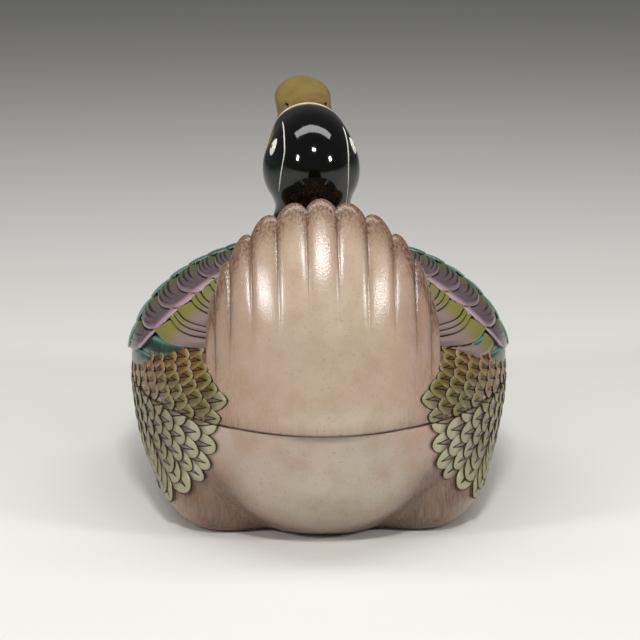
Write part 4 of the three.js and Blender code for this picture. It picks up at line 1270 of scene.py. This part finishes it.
def scale_tint(colours, point, body, chance):
    """Cream beside the tail, olive on the flanks, rust under the wings and on the breast."""
    cream, olive, rust = colours.scale_cream, colours.scale_olive, colours.scale_rust
    _, y, z = point
    if body == "bowl":
        mix = lerp(cream, olive, ease((y + 116) / 46) * (0.7 + 0.3 * z / 72))
        return mix * (1 + 0.10 * chance)
    mix = lerp(cream, olive, ease((y + 132) / 14))
    mix = lerp(mix, rust, max(0.9 * ease((y + 98) / 32), 0.5 * ease((y + 118) / 20) * ease((z - 84) / 12)))
    return mix * (1 + 0.12 * chance)


class TUREEN_OT_scales(bpy.types.Operator):
    """Lay the scale feathers on bowl and lid in rows that follow the flanks, the breast and the back"""

    bl_idname = "tureen.scales"
    bl_label = "Scale feathers"

    def execute(self, context):
        bowl, lid, tail = read("bowl_sizes"), read("lid_sizes"), read("tail_sizes")
        wing, head, sizes = read("wing_sizes"), read("head_sizes"), read("scale_sizes")
        colours = glaze_tones()
        chance = np.random.default_rng(sizes.seed)
        # Rows over the back take over from the flanks' above this angle, as far forward as the breast
        flank_top, breast = 0.58, 46

        def mirrored(places, body, keep=lambda point, s, h: True):
            """Both halves of the tureen, without the feathers that fall outside their region."""
            found = []
            for point, outward, tip, s, h in places:
                if not keep(point, s, h):
                    continue
                for side in (1, -1):
                    if side < 0 and abs(point[0]) < 1.0:
                        continue
                    flip = np.array([side, 1, 1])
                    found.append(
                        {
                            "at": point * flip,
                            "outward": outward * flip,
                            "towards_tip": tip * flip,
                            "grown": 1.0,
                            "tint": scale_tint(colours, point, body, chance.uniform(-1, 1)),
                        }
                    )
            return found

        flat = Unrolled(lambda turn, rise: bowl_skin(bowl, turn, rise), 1.0)

        def lead(s):
            """Rows lean at 45 degrees by the tail and lie level round the breast."""
            start, end = 0.36 * flat.length, 0.92 * flat.length
            t = np.clip((s - start) / (end - start), 0, 1)
            return min(s, start) + (end - start) * (t - t**3 + t**4 / 2)

        def bowl_value(s, h):
            return lead(s) + h - 18 * ((h - 48) / 30) ** 2 * float(1 - ease((s - 120) / 90))

        def droop(s, h):
            """Feathers hang towards the foot, and round the breast."""
            low = float(np.clip((62 - h) / 45, 0, 1))
            hang = math.radians(60 * low + 80 * float(ease((s - 150) / 250)))
            return min(sizes.level_tip + hang, math.radians(85))

        places = rows_of_scales(
            flat, bowl_value, droop, 136, sizes.bowl_step, sizes.bowl_pitch, 28.0, flat.height - 0.5
        )
        bowl_places, seam = mirrored(places, "bowl"), bowl.rim_height - 0.25
        spread_scales("bowl", bowl_places, sizes.bowl_pitch, sizes.bowl_step, 0.12, sizes, seam)

        dome = Unrolled(lambda turn, lift: lid_skin(bowl, lid, turn, lift), 0.0)

        def lid_value(s, h):
            return lead(s) + h * (0.3 + 0.7 * float(ease((s - 60) / 60)))

        def lid_droop(s, _):
            return lerp(sizes.level_tip, math.radians(80), float(ease((s - 150) / 300)))

        def climb_of(point):
            return math.atan2(point[2] - lid.base, abs(point[0]))

        def under_wing(point):
            climb, margin = climb_of(point), 3.0
            # Below the wing's edge its lowest teal feathers lie between these two hems
            hem_low = np.interp(point[1], (-88, -80, -64, -40, 12), (22, 18, 13, 6, 3))
            hem_high = np.interp(point[1], (-88, -64, -40, 12), (24, 20, 16, 9))
            if -88 < point[1] < 12 and hem_low < math.degrees(climb) < hem_high:
                return True
            if not wing.low_angle + 0.03 < climb < wing.high_angle - 0.03:
                return False
            back, front = wing_ends(wing, climb)
            return back + margin < point[1] < front - margin

        def keep_low(point, s, h):
            if s < 53 + 0.66 * h or under_wing(point):
                return False
            return climb_of(point) < flank_top or point[1] > breast

        places = rows_of_scales(dome, lid_value, lid_droop, 62, sizes.lid_step, sizes.lid_pitch, 1.0, 96.0)
        lid_places = mirrored(places, "lid", keep_low)

        # The back, between and behind the wings: rows across the long axis, tips towards the tail
        for row, y in enumerate(np.arange(-128, 66, sizes.lid_step)):
            radius = float(lid_radius(bowl, lid, y, math.pi / 2))
            climb = math.pi / 2 - row % 2 * 0.5 * sizes.lid_pitch / max(radius, 10)
            while climb > (flank_top if y < breast else 1.0):
                point = lid_place(bowl, lid, y, climb, 0.0)
                ahead = lid_place(bowl, lid, y - 1, climb, 0.0) - point
                aside = lid_place(bowl, lid, y, climb - 0.01, 0.0) - point
                outward = unit(np.cross(ahead, aside))
                outward = outward if outward[2] > 0 else -outward
                if not under_wing(point) and radius > 12:
                    lid_places += mirrored([(point, outward, unit(ahead), 0, 0)], "lid")
                climb -= sizes.lid_pitch / max(float(np.linalg.norm(point[[0, 2]] - [0, lid.base])), 10)

        # A feather that the neck or the tail fan would bury is moved out to its skin, or left out
        kept = []
        for place in lid_places:
            point = place["at"]
            height = point[2] - lid.base
            if point[1] < -60 and abs(point[0]) < tail.half_width - 2 - 14 * bump(height / 20):
                lean = max((height - tail.turn) / (tail.rise - tail.turn), 0)
                bowed = tail.crown * (point[0] / tail.half_width) ** 2
                rear = -bowl.rim_half_length + tail.lean * lean**2 + bowed
                face = rear + lerp(tail.root_thickness, tail.tip_thickness, np.clip(height / tail.rise, 0, 1))
                if point[1] < face + 2.0:
                    continue
            if head_distance(head, point[None])[0] < 0:
                out = march(head, point, place["outward"], 34, inward=False)
                if np.linalg.norm(out - point) > 26 or out[2] > lid.base + 66:
                    continue
                place["at"] = out
                place["outward"] = head_slope(head, out)
                tip = place["towards_tip"]
                place["towards_tip"] = unit(tip - place["outward"] * (tip @ place["outward"]))
            kept.append(place)
        spread_scales("lid", kept, sizes.lid_pitch, sizes.lid_step, 0.4, sizes, lid.base + 0.25)
        return {"FINISHED"}


def feather(
    shells, bowl, lid, side, low, high, root, tips, round_end, lift, paint, tilt, camber=1.0, barbed=0.0
):
    """One wing feather between two lines, from its root to a rounded end, pressed to the lid's curve."""
    down = 1 - (1 - np.linspace(0, 1, 22)) ** 1.6
    across = np.sin(np.linspace(-math.pi / 2, math.pi / 2, 13))
    a, b = np.meshgrid(down, across, indexing="ij")
    tip = lerp(tips[0], tips[1], (b + 1) / 2) - round_end * (1 - b * b)
    y = lerp(root, tip, a)
    climb = lerp(low(y), high(y), (b + 1) / 2)
    # The wing lies about 100 mm from the lid's long axis, which turns its angles into millimetres
    half = 0.5 * np.abs(high(y) - low(y)) * 100
    from_side = (1 - np.abs(b)) * half
    from_end = (1 - a) * abs(root - np.mean(tips))
    edge = np.minimum(from_side, from_end)
    # The outer 1.4 mm of a feather are rounded down by 1.1 mm
    rounded = np.sqrt(np.clip(1 - (1 - np.clip(edge / 1.4, 0, 1)) ** 2, 0, 1))
    top = lift - camber * b * b - tilt * b - 1.1 * (1 - rounded)
    skin = lid_place(bowl, lid, y, climb, top)
    bed = lid_place(bowl, lid, y, climb, -BED_DEPTH)
    flip = np.array([side, 1, 1])
    rings = np.concatenate([skin, bed[:, ::-1]], 1) * flip
    colours = paint(a, b)
    uv = stack(b, a)
    pad = np.zeros_like(edge)
    shells.add(
        rings,
        ends="zip",
        paint=np.concatenate([colours, colours[:, ::-1]], 1),
        rim=np.concatenate([edge, pad], 1),
        barbed=np.full(rings.shape[:2], barbed),
        uv=np.concatenate([uv, uv[:, ::-1]], 1),
    )


def line(*marks):
    """An angle for each place along the wing, smooth through (y, degrees) marks that run rearward."""
    y, degrees = np.array(marks, float).T
    return lambda at: np.radians(np.interp(-np.asarray(at, float), -y, degrees))


def curved(y0, degrees0, y1, degrees1, power):
    """A dividing line between two long feathers, straight at its root and rising towards its tip."""

    def climb(y):
        t = np.clip((y0 - y) / (y0 - y1), 0, 1.2)
        # Ahead of its root it drops, in degrees for each millimetre
        drop = 0.05 * np.maximum(y - y0, 0)
        return np.radians(degrees0 + (degrees1 - degrees0) * t**power - drop)

    return climb


def division(joint, drop):
    """A dividing line between two feathers of the upper rows, which drops forward from its joint."""
    y0, degrees0 = joint
    return lambda y: np.radians(
        degrees0 - drop * (1 - np.exp(-np.maximum(y - y0, 0) / 13)) + 0.1 * np.minimum(y - y0, 0)
    )


class TUREEN_OT_wings(bpy.types.Operator):
    """Press both wings: teal coverts, mauve middle feathers and long moss-coloured rear feathers"""

    bl_idname = "tureen.wings"
    bl_label = "Wings"

    def execute(self, context):
        bowl, lid, wing = read("bowl_sizes"), read("lid_sizes"), read("wing_sizes")
        colours = glaze_tones()

        def blend(first, second, t):
            return first + (second - first) * np.clip(t, 0, 1)[..., None]

        def moss_paint(a, b):
            mixed = blend(colours.moss, colours.dusk, ease((a - 0.42) / 0.3))
            return blend(mixed, colours.mauve, 0.5 * ease((a - 0.7) / 0.2) * (b < 0))

        def mauve_paint(a, b):
            mixed = blend(colours.moss * 0.5, colours.mauve, ease((a - 0.2) / 0.4))
            # Painted highlight: the pink ridge along the feather's end and its lower edge
            ridge_highlight = np.maximum(ease((a - 0.87) / 0.09), 0.55 * ease((-b - 0.6) / 0.25))
            return blend(mixed, colours.mauve_highlight, ridge_highlight)

        def teal_paint(a, b):
            # Painted highlight: a pale rim at the feather's end and, faintly, along its sides
            rim = np.maximum(ease((a - 0.95) / 0.03), ease((np.abs(b) - 0.85) / 0.1) * 0.25)
            return blend(colours.teal, colours.teal_highlight, rim)

        def low_teal_paint(_, b):
            # Painted highlight: pale rims along both edges
            rim = np.maximum(bump((b - 0.72) / 0.16), 0.7 * bump((b + 0.7) / 0.2))
            return blend(colours.teal, colours.teal_highlight, 0.9 * rim)

        def lifted(lift, part):
            """Feathers stand lower towards the wing's upper edge."""
            return lift * lerp(1.0, wing.upper_share, part)

        for side, name in ((-1, "left_wing"), (1, "right_wing")):
            shells = Shells()
            press = partial(feather, shells, bowl, lid, side)
            u = np.linspace(0, 1, 60)
            climb = lerp(wing.low_angle, wing.high_angle, u)
            back, front = wing_ends(wing, climb)
            down, over = np.meshgrid(np.linspace(0, 1, 50), u, indexing="ij")
            y = lerp(front, back, down)
            thin_ends, thin_sides = [np.clip(np.sin(way * math.pi) * 4, 0, 1) for way in (down, over)]
            thick = wing.bed * np.sqrt(thin_ends * thin_sides)
            skin = lid_place(bowl, lid, y, climb + 0 * y, thick)
            under = lid_place(bowl, lid, y, climb + 0 * y, -BED_DEPTH)
            rings = np.concatenate([skin, under[:, ::-1]], 1) * np.array([side, 1, 1])
            shells.add(
                rings,
                ends="zip",
                paint=np.broadcast_to(colours.teal * 0.3, rings.shape),
                rim=np.full(rings.shape[:2], 9.0),
                barbed=np.zeros(rings.shape[:2]),
                uv=np.zeros(rings.shape[:2] + (2,)),
            )

            # Long rear feathers, wide ones between pairs of narrow ones
            lines = [
                curved(-56, 19.4, -101, 28.9, 2.6),
                curved(-59, 26.0, -95, 32.0, 2.8),
                curved(-58, 27.7, -92, 33.6, 2.4),
                curved(-57, 29.2, -88, 35.2, 2.0),
                curved(-50, 34.8, -80, 39.2, 2.0),
                curved(-49, 36.8, -77, 40.6, 2.0),
                curved(-47, 38.7, -72, 42.0, 2.0),
                curved(-45, 42.7, -62, 45.0, 1.6),
                curved(-41, 44.8, -56, 46.6, 1.5),
                curved(-37, 46.8, -52, 48.4, 1.4),
                curved(-30, 54.0, -42, 55.5, 1.4),
                curved(-22, 60.0, -34, 61.5, 1.4),
                curved(-12, 67.5, -20, 67.8, 1.4),
            ]
            ends = [-101, -99, -96, -93, -88, -84, -80, -70, -64, -58, -44, -34, -20]
            roots = [-40, -42, -42, -38, -36, -36, -30, -28, -26, -20, -14, -8, 0]
            for k in reversed(range(len(lines) - 1)):
                wide = k in (0, 3, 6, 9, 10, 11)
                press(
                    lines[k],
                    lines[k + 1],
                    max(roots[k], roots[k + 1]),
                    (ends[k], ends[k + 1]),
                    3.0,
                    lifted(wing.primary_lift, k / 11),
                    moss_paint,
                    tilt=0.35,
                    camber=0.9 if wide else 0.35,
                )
            # Teal feathers under the wing's lower edge, the outer one first
            outer = line((20, 2.0), (-10, 1.8), (-40, 4.5), (-60, 9.5), (-66, 11.0))
            inner = line((20, 9.0), (-20, 9.5), (-48, 12.0), (-64, 13.0))
            press(outer, inner, 10, (-58, -62), 2.0, 1.7, low_teal_paint, tilt=-0.5)
            high = line((-20, 16.0), (-45, 17.5), (-60, 19.6), (-75, 21.5), (-90, 24.5))
            if side < 0:
                low = line((-20, 8.0), (-45, 10.3), (-57, 10.9), (-70, 12.9), (-81, 16.6), (-90, 20.5))
                press(low, high, -30, (-80, -88), 3.0, 1.6, low_teal_paint, tilt=-0.6)
            else:
                low = line((-20, 8.0), (-45, 9.5), (-57, 10.0), (-72, 12.5), (-80, 14.5))
                press(low, high, -30, (-70, -76), 3.0, 1.5, low_teal_paint, tilt=-0.6)
                last = line((-20, 12.0), (-50, 13.2), (-66, 13.4), (-81, 15.0), (-88, 18.8), (-94, 22.5))
                press(last, lines[0], -38, (-88, -97), 2.0, 2.0, moss_paint, tilt=0.3)

            # Middle row: the dividing lines drop forward from each joint
            joints = [(-43, 11.7), (-52, 20.9), (-50, 30.5), (-45, 37.9)]
            joints += [(-34, 45.3), (-30, 51.5), (-22, 58.0), (-10, 64.5)]
            roots = [-4, 8, 18, 26, 31, 34, 38]
            for k in reversed(range(len(joints) - 1)):
                press(
                    division(joints[k], 5.0 if k < 2 else 7.0),
                    division(joints[k + 1], 5.5 if k < 1 else 7.0),
                    roots[k],
                    (joints[k][0], joints[k + 1][0] + 1.5),
                    4.5,
                    lifted(wing.secondary_lift, k / 6),
                    mauve_paint,
                    tilt=0.5,
                    camber=1.1,
                    barbed=1.0,
                )
            # Front row: teal coverts with pale rims, a painted highlight
            marks = [(-14, 8.0), (-4, 15.0), (10, 22.0), (20, 29.0), (26, 36.0)]
            marks += [(29, 43.0), (31, 50.0), (36, 57.0), (42, 64.0)]
            for k in reversed(range(len(marks) - 1)):
                low, high = division(marks[k], 4.0), division(marks[k + 1], 4.0)
                _, start = wing_ends(wing, math.radians((marks[k][1] + marks[k + 1][1]) / 2 - 4))
                tips = (marks[k][0], marks[k + 1][0])
                lift = lifted(wing.covert_lift, k / 7)
                press(low, high, float(start) - 2, tips, 3.0, lift, teal_paint, tilt=0.3, camber=0.7)
            mesh = shells.mesh(name + "_feathers", [materials()["overglaze_painted_wing"]])
            put(mesh, "lid", "wing_glaze", name)
        return {"FINISHED"}


class TUREEN_OT_head(bpy.types.Operator):
    """Model the head and neck in one skin, with the trailed white lines beside the crown"""

    bl_idname = "tureen.head"
    bl_label = "Head and neck"

    def execute(self, context):
        bowl, lid, head = read("bowl_sizes"), read("lid_sizes"), read("head_sizes")
        axes, middle = head_axes(head)
        throat = middle + [0, 0, -18]
        polar = np.linspace(0, math.pi, 122)[1:-1]
        turn = np.linspace(0, 2 * math.pi, 120, endpoint=False)
        low, round_turn = np.meshgrid(polar, turn, indexing="ij")
        heading = stack(np.sin(low) * np.cos(round_turn), np.sin(low) * np.sin(round_turn), -np.cos(low))
        skin = march(head, throat, heading, 110, inward=False)
        plan = np.hypot(skin[..., 0] / bowl.rim_half_width, skin[..., 1] / bowl.rim_half_length)
        floor = lid.base + lid.rise * quarter(plan, lid.bulge) - 3.5
        skin[..., 2] = np.maximum(skin[..., 2], np.where(plan < 0.985, floor, lid.base + 4))
        local = (skin - middle) @ axes
        across, forward, up = np.abs(local[..., 0]), local[..., 1], local[..., 2]
        green = ease((across - 17) / 4) * ease((18 - up) / 14) * ease((up + 70) / 30)
        # The bill's yellow ends on the cheek in a rounded patch
        from_middle = np.hypot(np.maximum(np.abs(up - 5.3) - 1.2, 0), np.maximum(9 - forward, 0))
        gape = np.minimum(5 - from_middle, across - 14)
        shells = Shells()
        shells.add(skin, green=green, gape=gape)
        mesh = shells.mesh("head_and_neck_skin", [materials()["black_green_glaze"]])
        put(mesh, "lid", "head_glaze", "head_and_neck")

        lines = Shells()
        left = [(-18.6, 10.9, 20.2), (-18.5, -2, 22), (-18.9, -19, 15.3), (-22.2, -24.2, -4)]
        left.append((-22.8, -23.3, -11))
        right = [(19.1, 1.4, 21.5), (20.9, -13.7, 15.8), (20.5, -22.6, 7.8), (20.4, -26.1, -3.6)]
        right.append((21, -23.8, -22))
        for marks in (np.array(left), np.array(right)):
            gone = np.append(0, np.cumsum(np.linalg.norm(np.diff(marks, axis=0), axis=1)))
            along = np.linspace(0, gone[-1], 70)
            guide = stack(*[np.interp(along, gone, axis) for axis in marks.T])
            for _ in range(60):
                guide[1:-1] = (guide[:-2] + 2 * guide[1:-1] + guide[2:]) / 4
            path = march(head, throat, from_head(head, guide) - throat, 110, inward=False)
            thin = 0.42 * np.sqrt(np.clip(np.sin(np.linspace(0.02, 0.98, 70) * math.pi) * 3, 0.1, 1))
            lines.add(tube(path, thin))
        put(lines.mesh("white_trailed_lines", [materials()["white_slip_glaze"]]), "lid", "eye_glaze")
        return {"FINISHED"}


def bill_plan(head, part):
    """The bill's half width and the height of its parting, at a share of its length."""
    return head.bill_half_width * lerp(0.92, 1, np.abs(2 * part - 1)), lerp(-3, 6.5, part)


def mandible(head, crest_root, crest_tip, parting):
    """Rings of half the bill along the head's forward axis, flat at the parting and rounded outside."""
    steps, sides = 48, 40
    rings = []
    for i in range(steps + 1):
        s = math.sin(math.pi / 2 * i / steps)
        y = lerp(head.bill_root - 4, head.bill_tip, s)
        end = min(max((s - 0.7) / 0.3, 0), 0.995)
        half_width, meet = bill_plan(head, s)
        half_width *= math.sqrt(1 - end**2)
        meet += parting
        blunt = math.sqrt(1 - ((s - 0.9) / 0.1) ** 2) * 0.45 + 0.55 if s > 0.9 else 1
        crest = (lerp(crest_root, crest_tip, s**0.75) - meet) * blunt
        turn = np.linspace(0, math.pi, sides + 1)
        over = stack(half_width * np.cos(turn), y, meet + crest * np.sin(turn) ** 0.75)
        flat = stack(np.linspace(-half_width, half_width, 10)[1:-1], y, meet)
        rings.append(np.vstack([over, flat]))
    return from_head(head, np.array(rings))


class TUREEN_OT_bill(bpy.types.Operator):
    """Make the spatulate bill with its cream root line, nostrils and gape"""

    bl_idname = "tureen.bill"
    bl_label = "Bill"

    def execute(self, context):
        head = read("head_sizes")
        axes, middle = head_axes(head)
        made = materials()
        for name, crest_root, crest_tip, gap in (
            ("upper_bill", head.bill_top, head.bill_end, 0.15),
            ("lower_bill", -9, 3.5, -0.15),
        ):
            rings = mandible(head, crest_root, crest_tip, gap)
            forward = ((rings - middle) @ axes)[..., 1]
            shells = Shells()
            shells.add(rings, root=2.0 * bump((forward - head.bill_root) / 22))
            put(shells.mesh(name + "_form", [made["olive_yellow_glaze"]]), "lid", "bill_glaze", name)
        trim = Shells()
        # The cream line where the upper bill leaves the head
        turn = np.linspace(math.radians(2), math.radians(178), 70)
        root = head.bill_half_width * 1.03
        start = from_head(head, stack(root * np.cos(turn), 0 * turn, -3 + 22.5 * np.sin(turn) ** 0.75))
        path = march(head, start, np.array([0, 1, 0]) @ axes.T, 60, inward=False)
        trim.add(tube(path, 0.75))
        put(trim.mesh("bill_root_line", [made["cream_slip_glaze"]]), "lid", "bill_glaze")
        holes = Shells()
        for side in (-1, 1):
            along = np.linspace(0, 1, 14)
            x, y = 11.8 + 1.6 * along, 41 + 6 * along
            root_share = (y - head.bill_root + 4) / (head.bill_tip - head.bill_root + 4)
            crest = lerp(head.bill_top, head.bill_end, root_share**0.75)
            width, meet = bill_plan(head, root_share)
            start = stack(side * x, y, meet + (crest - meet) * (1 - (x / width) ** 2) ** 0.375)
            bore = 0.9 * np.sqrt(np.clip(np.sin(along * 2.9 + 0.12), 0.02, 1))
            holes.add(tube(from_head(head, start), bore))
        put(holes.mesh("nostrils", [made["black_iron_glaze"]]), "lid", "bill_glaze")
        return {"FINISHED"}


class TUREEN_OT_eyes(bpy.types.Operator):
    """Set a low white bead with a black pupil on each side of the head"""

    bl_idname = "tureen.eyes"
    bl_label = "Eyes"

    def execute(self, context):
        head = read("head_sizes")
        made = materials()
        axes, _ = head_axes(head)
        polar = np.linspace(0, math.pi, 40)[1:-1]
        turn = np.linspace(0, 2 * math.pi, 48, endpoint=False)
        low, over = np.meshgrid(polar, turn, indexing="ij")
        proud = head.eye_bead * np.cos(low) - head.eye_sink
        wide = head.eye * head.eye_share * np.sin(low) * np.cos(over)
        tall = head.eye * np.sin(low) * np.sin(over)
        for side, name in ((-1, "left_eye"), (1, "right_eye")):
            sideways = np.array([side, 0, 0]) @ axes.T
            seat = march(head, from_head(head, [0.0, -4.5, 11.0]), sideways, 60, inward=False)
            outward = head_slope(head, seat)
            aside = unit(np.cross([0, 0, 1], outward))
            upward = np.cross(outward, aside)
            bead = seat + stack(proud, wide, tall) @ np.array([outward, aside, upward])
            shells = Shells()
            shells.add(bead, np.where(polar[1:] < head.pupil, 1, 0))
            mesh = shells.mesh(name + "_bead", [made["white_slip_glaze"], made["black_iron_glaze"]])
            put(mesh, "lid", "eye_glaze", name)
        return {"FINISHED"}


class TUREEN_OT_stage(bpy.types.Operator):
    """Set a pale floor, soft studio lights and the camera at the photograph's angle"""

    bl_idname = "tureen.stage"
    bl_label = "Stage"

    def execute(self, context):
        scene = context.scene
        reach = 8.0
        floor = bpy.data.meshes.new("floor")
        corners = [(-reach, -reach, 0), (reach, -reach, 0), (reach, reach, 0), (-reach, reach, 0)]
        floor.from_pydata(corners, [], [(0, 1, 2, 3)])
        material, tree = new_material("pale_paper")
        place = node(tree, "ShaderNodeTexCoord").outputs["Object"]
        grain = node(tree, "ShaderNodeTexNoise", {"Vector": place, "Scale": per_metre(2), "Detail": 3.0})
        close_material(tree, tone("#D6D4CF"), 0.8, grain, 0.05 * MM)
        floor.materials.append(material)
        sheet = bpy.data.objects.new("floor", floor)
        scene.collection.objects.link(sheet)
        sheet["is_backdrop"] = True

        target = Vector((0, CENTRE[1], 0.100))
        elevation, azimuth, distance = math.radians(14.5), math.radians(-1.5), 1.4
        level = math.cos(elevation)
        away = Vector((math.sin(azimuth) * level, -math.cos(azimuth) * level, math.sin(elevation)))
        # Focal length, shift and width of the picture, in its pixels
        focal, shift, picture = 2272, 1.5, 640
        lens = bpy.data.cameras.new("camera")
        lens.sensor_width = 36
        lens.lens = focal / picture * lens.sensor_width
        lens.shift_x = shift / picture
        lens.clip_end = 50
        camera = bpy.data.objects.new("camera", lens)
        camera.location = target + away * distance
        camera.rotation_euler = (-away).to_track_quat("-Z", "Y").to_euler()
        scene.collection.objects.link(camera)
        scene.camera = camera

        for name, heading, away_from, wide, tall, power, seen in (
            ("upper_lamp", (0.0, -0.59, 0.81), 1.5, 0.22, 0.16, 9.0, True),
            ("left_lamp", (-0.78, -0.46, 0.42), 1.4, 0.16, 0.24, 6.5, True),
            ("right_lamp", (0.78, -0.46, 0.42), 1.4, 0.16, 0.24, 6.5, True),
            ("front_fill", (0.0, -0.90, 0.44), 2.3, 1.8, 1.2, 3.0, False),
            ("overhead_softbox", (0.0, 0.14, 0.99), 1.5, 2.3, 0.40, 19.0, True),
        ):
            place = target + Vector(heading) * away_from
            lamp = bpy.data.lights.new(name, "AREA")
            lamp.shape = "RECTANGLE"
            lamp.size, lamp.size_y, lamp.energy = wide, tall, power
            light = bpy.data.objects.new(name, lamp)
            light.location = place
            light.rotation_euler = (target - place).to_track_quat("-Z", "Y").to_euler()
            light.visible_glossy = seen
            scene.collection.objects.link(light)
        world = bpy.data.worlds.new("studio")
        world.use_nodes = True
        world.node_tree.nodes.clear()
        glow = node(world.node_tree, "ShaderNodeBackground", {"Color": tone("#E6E8EA"), "Strength": 0.13})
        node(world.node_tree, "ShaderNodeOutputWorld", {"Surface": glow.outputs[0]})
        scene.world = world
        scene.view_settings.view_transform = "Standard"
        return {"FINISHED"}


PIECES = (
    TUREEN_OT_bowl,
    TUREEN_OT_lid,
    TUREEN_OT_tail,
    TUREEN_OT_scales,
    TUREEN_OT_wings,
    TUREEN_OT_head,
    TUREEN_OT_bill,
    TUREEN_OT_eyes,
    TUREEN_OT_stage,
)
GROUPS = {
    "bowl_sizes": BowlSizes,
    "lid_sizes": LidSizes,
    "tail_sizes": TailSizes,
    "scale_sizes": ScaleSizes,
    "wing_sizes": WingSizes,
    "head_sizes": HeadSizes,
    "glazes": Glazes,
}


class TUREEN_PT_panel(bpy.types.Panel):
    """The tureen's sizes, colours and pieces"""

    bl_label = "Duck Tureen"
    bl_idname = "TUREEN_PT_panel"
    bl_space_type = "VIEW_3D"
    bl_region_type = "UI"
    bl_category = "Tureen"

    def draw(self, context):
        for piece in PIECES:
            self.layout.operator(piece.bl_idname)
        for group in GROUPS:
            box = self.layout.box()
            box.label(text=group.replace("_", " ").capitalize())
            sizes = getattr(context.scene, group)
            for name in sizes.__annotations__:
                box.prop(sizes, name)


def register():
    for group in GROUPS.values():
        bpy.utils.register_class(group)
    for name, group in GROUPS.items():
        setattr(bpy.types.Scene, name, PointerProperty(type=group))
    for piece in (*PIECES, TUREEN_PT_panel):
        bpy.utils.register_class(piece)


def unregister():
    for piece in (TUREEN_PT_panel, *PIECES[::-1]):
        bpy.utils.unregister_class(piece)
    for name in GROUPS:
        delattr(bpy.types.Scene, name)
    for group in GROUPS.values():
        bpy.utils.unregister_class(group)


def main():
    register()
    bpy.ops.tureen.bowl()
    bpy.ops.tureen.lid()
    bpy.ops.tureen.tail()
    bpy.ops.tureen.scales()
    bpy.ops.tureen.wings()
    bpy.ops.tureen.head()
    bpy.ops.tureen.bill()
    bpy.ops.tureen.eyes()
    bpy.ops.tureen.stage()
    boxes = {"cad": CAD_BOX, "dressed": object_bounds()}
    plain = {name: [[float(x) for x in corner] for corner in box] for name, box in boxes.items()}


if __name__ == "__main__":
    main()
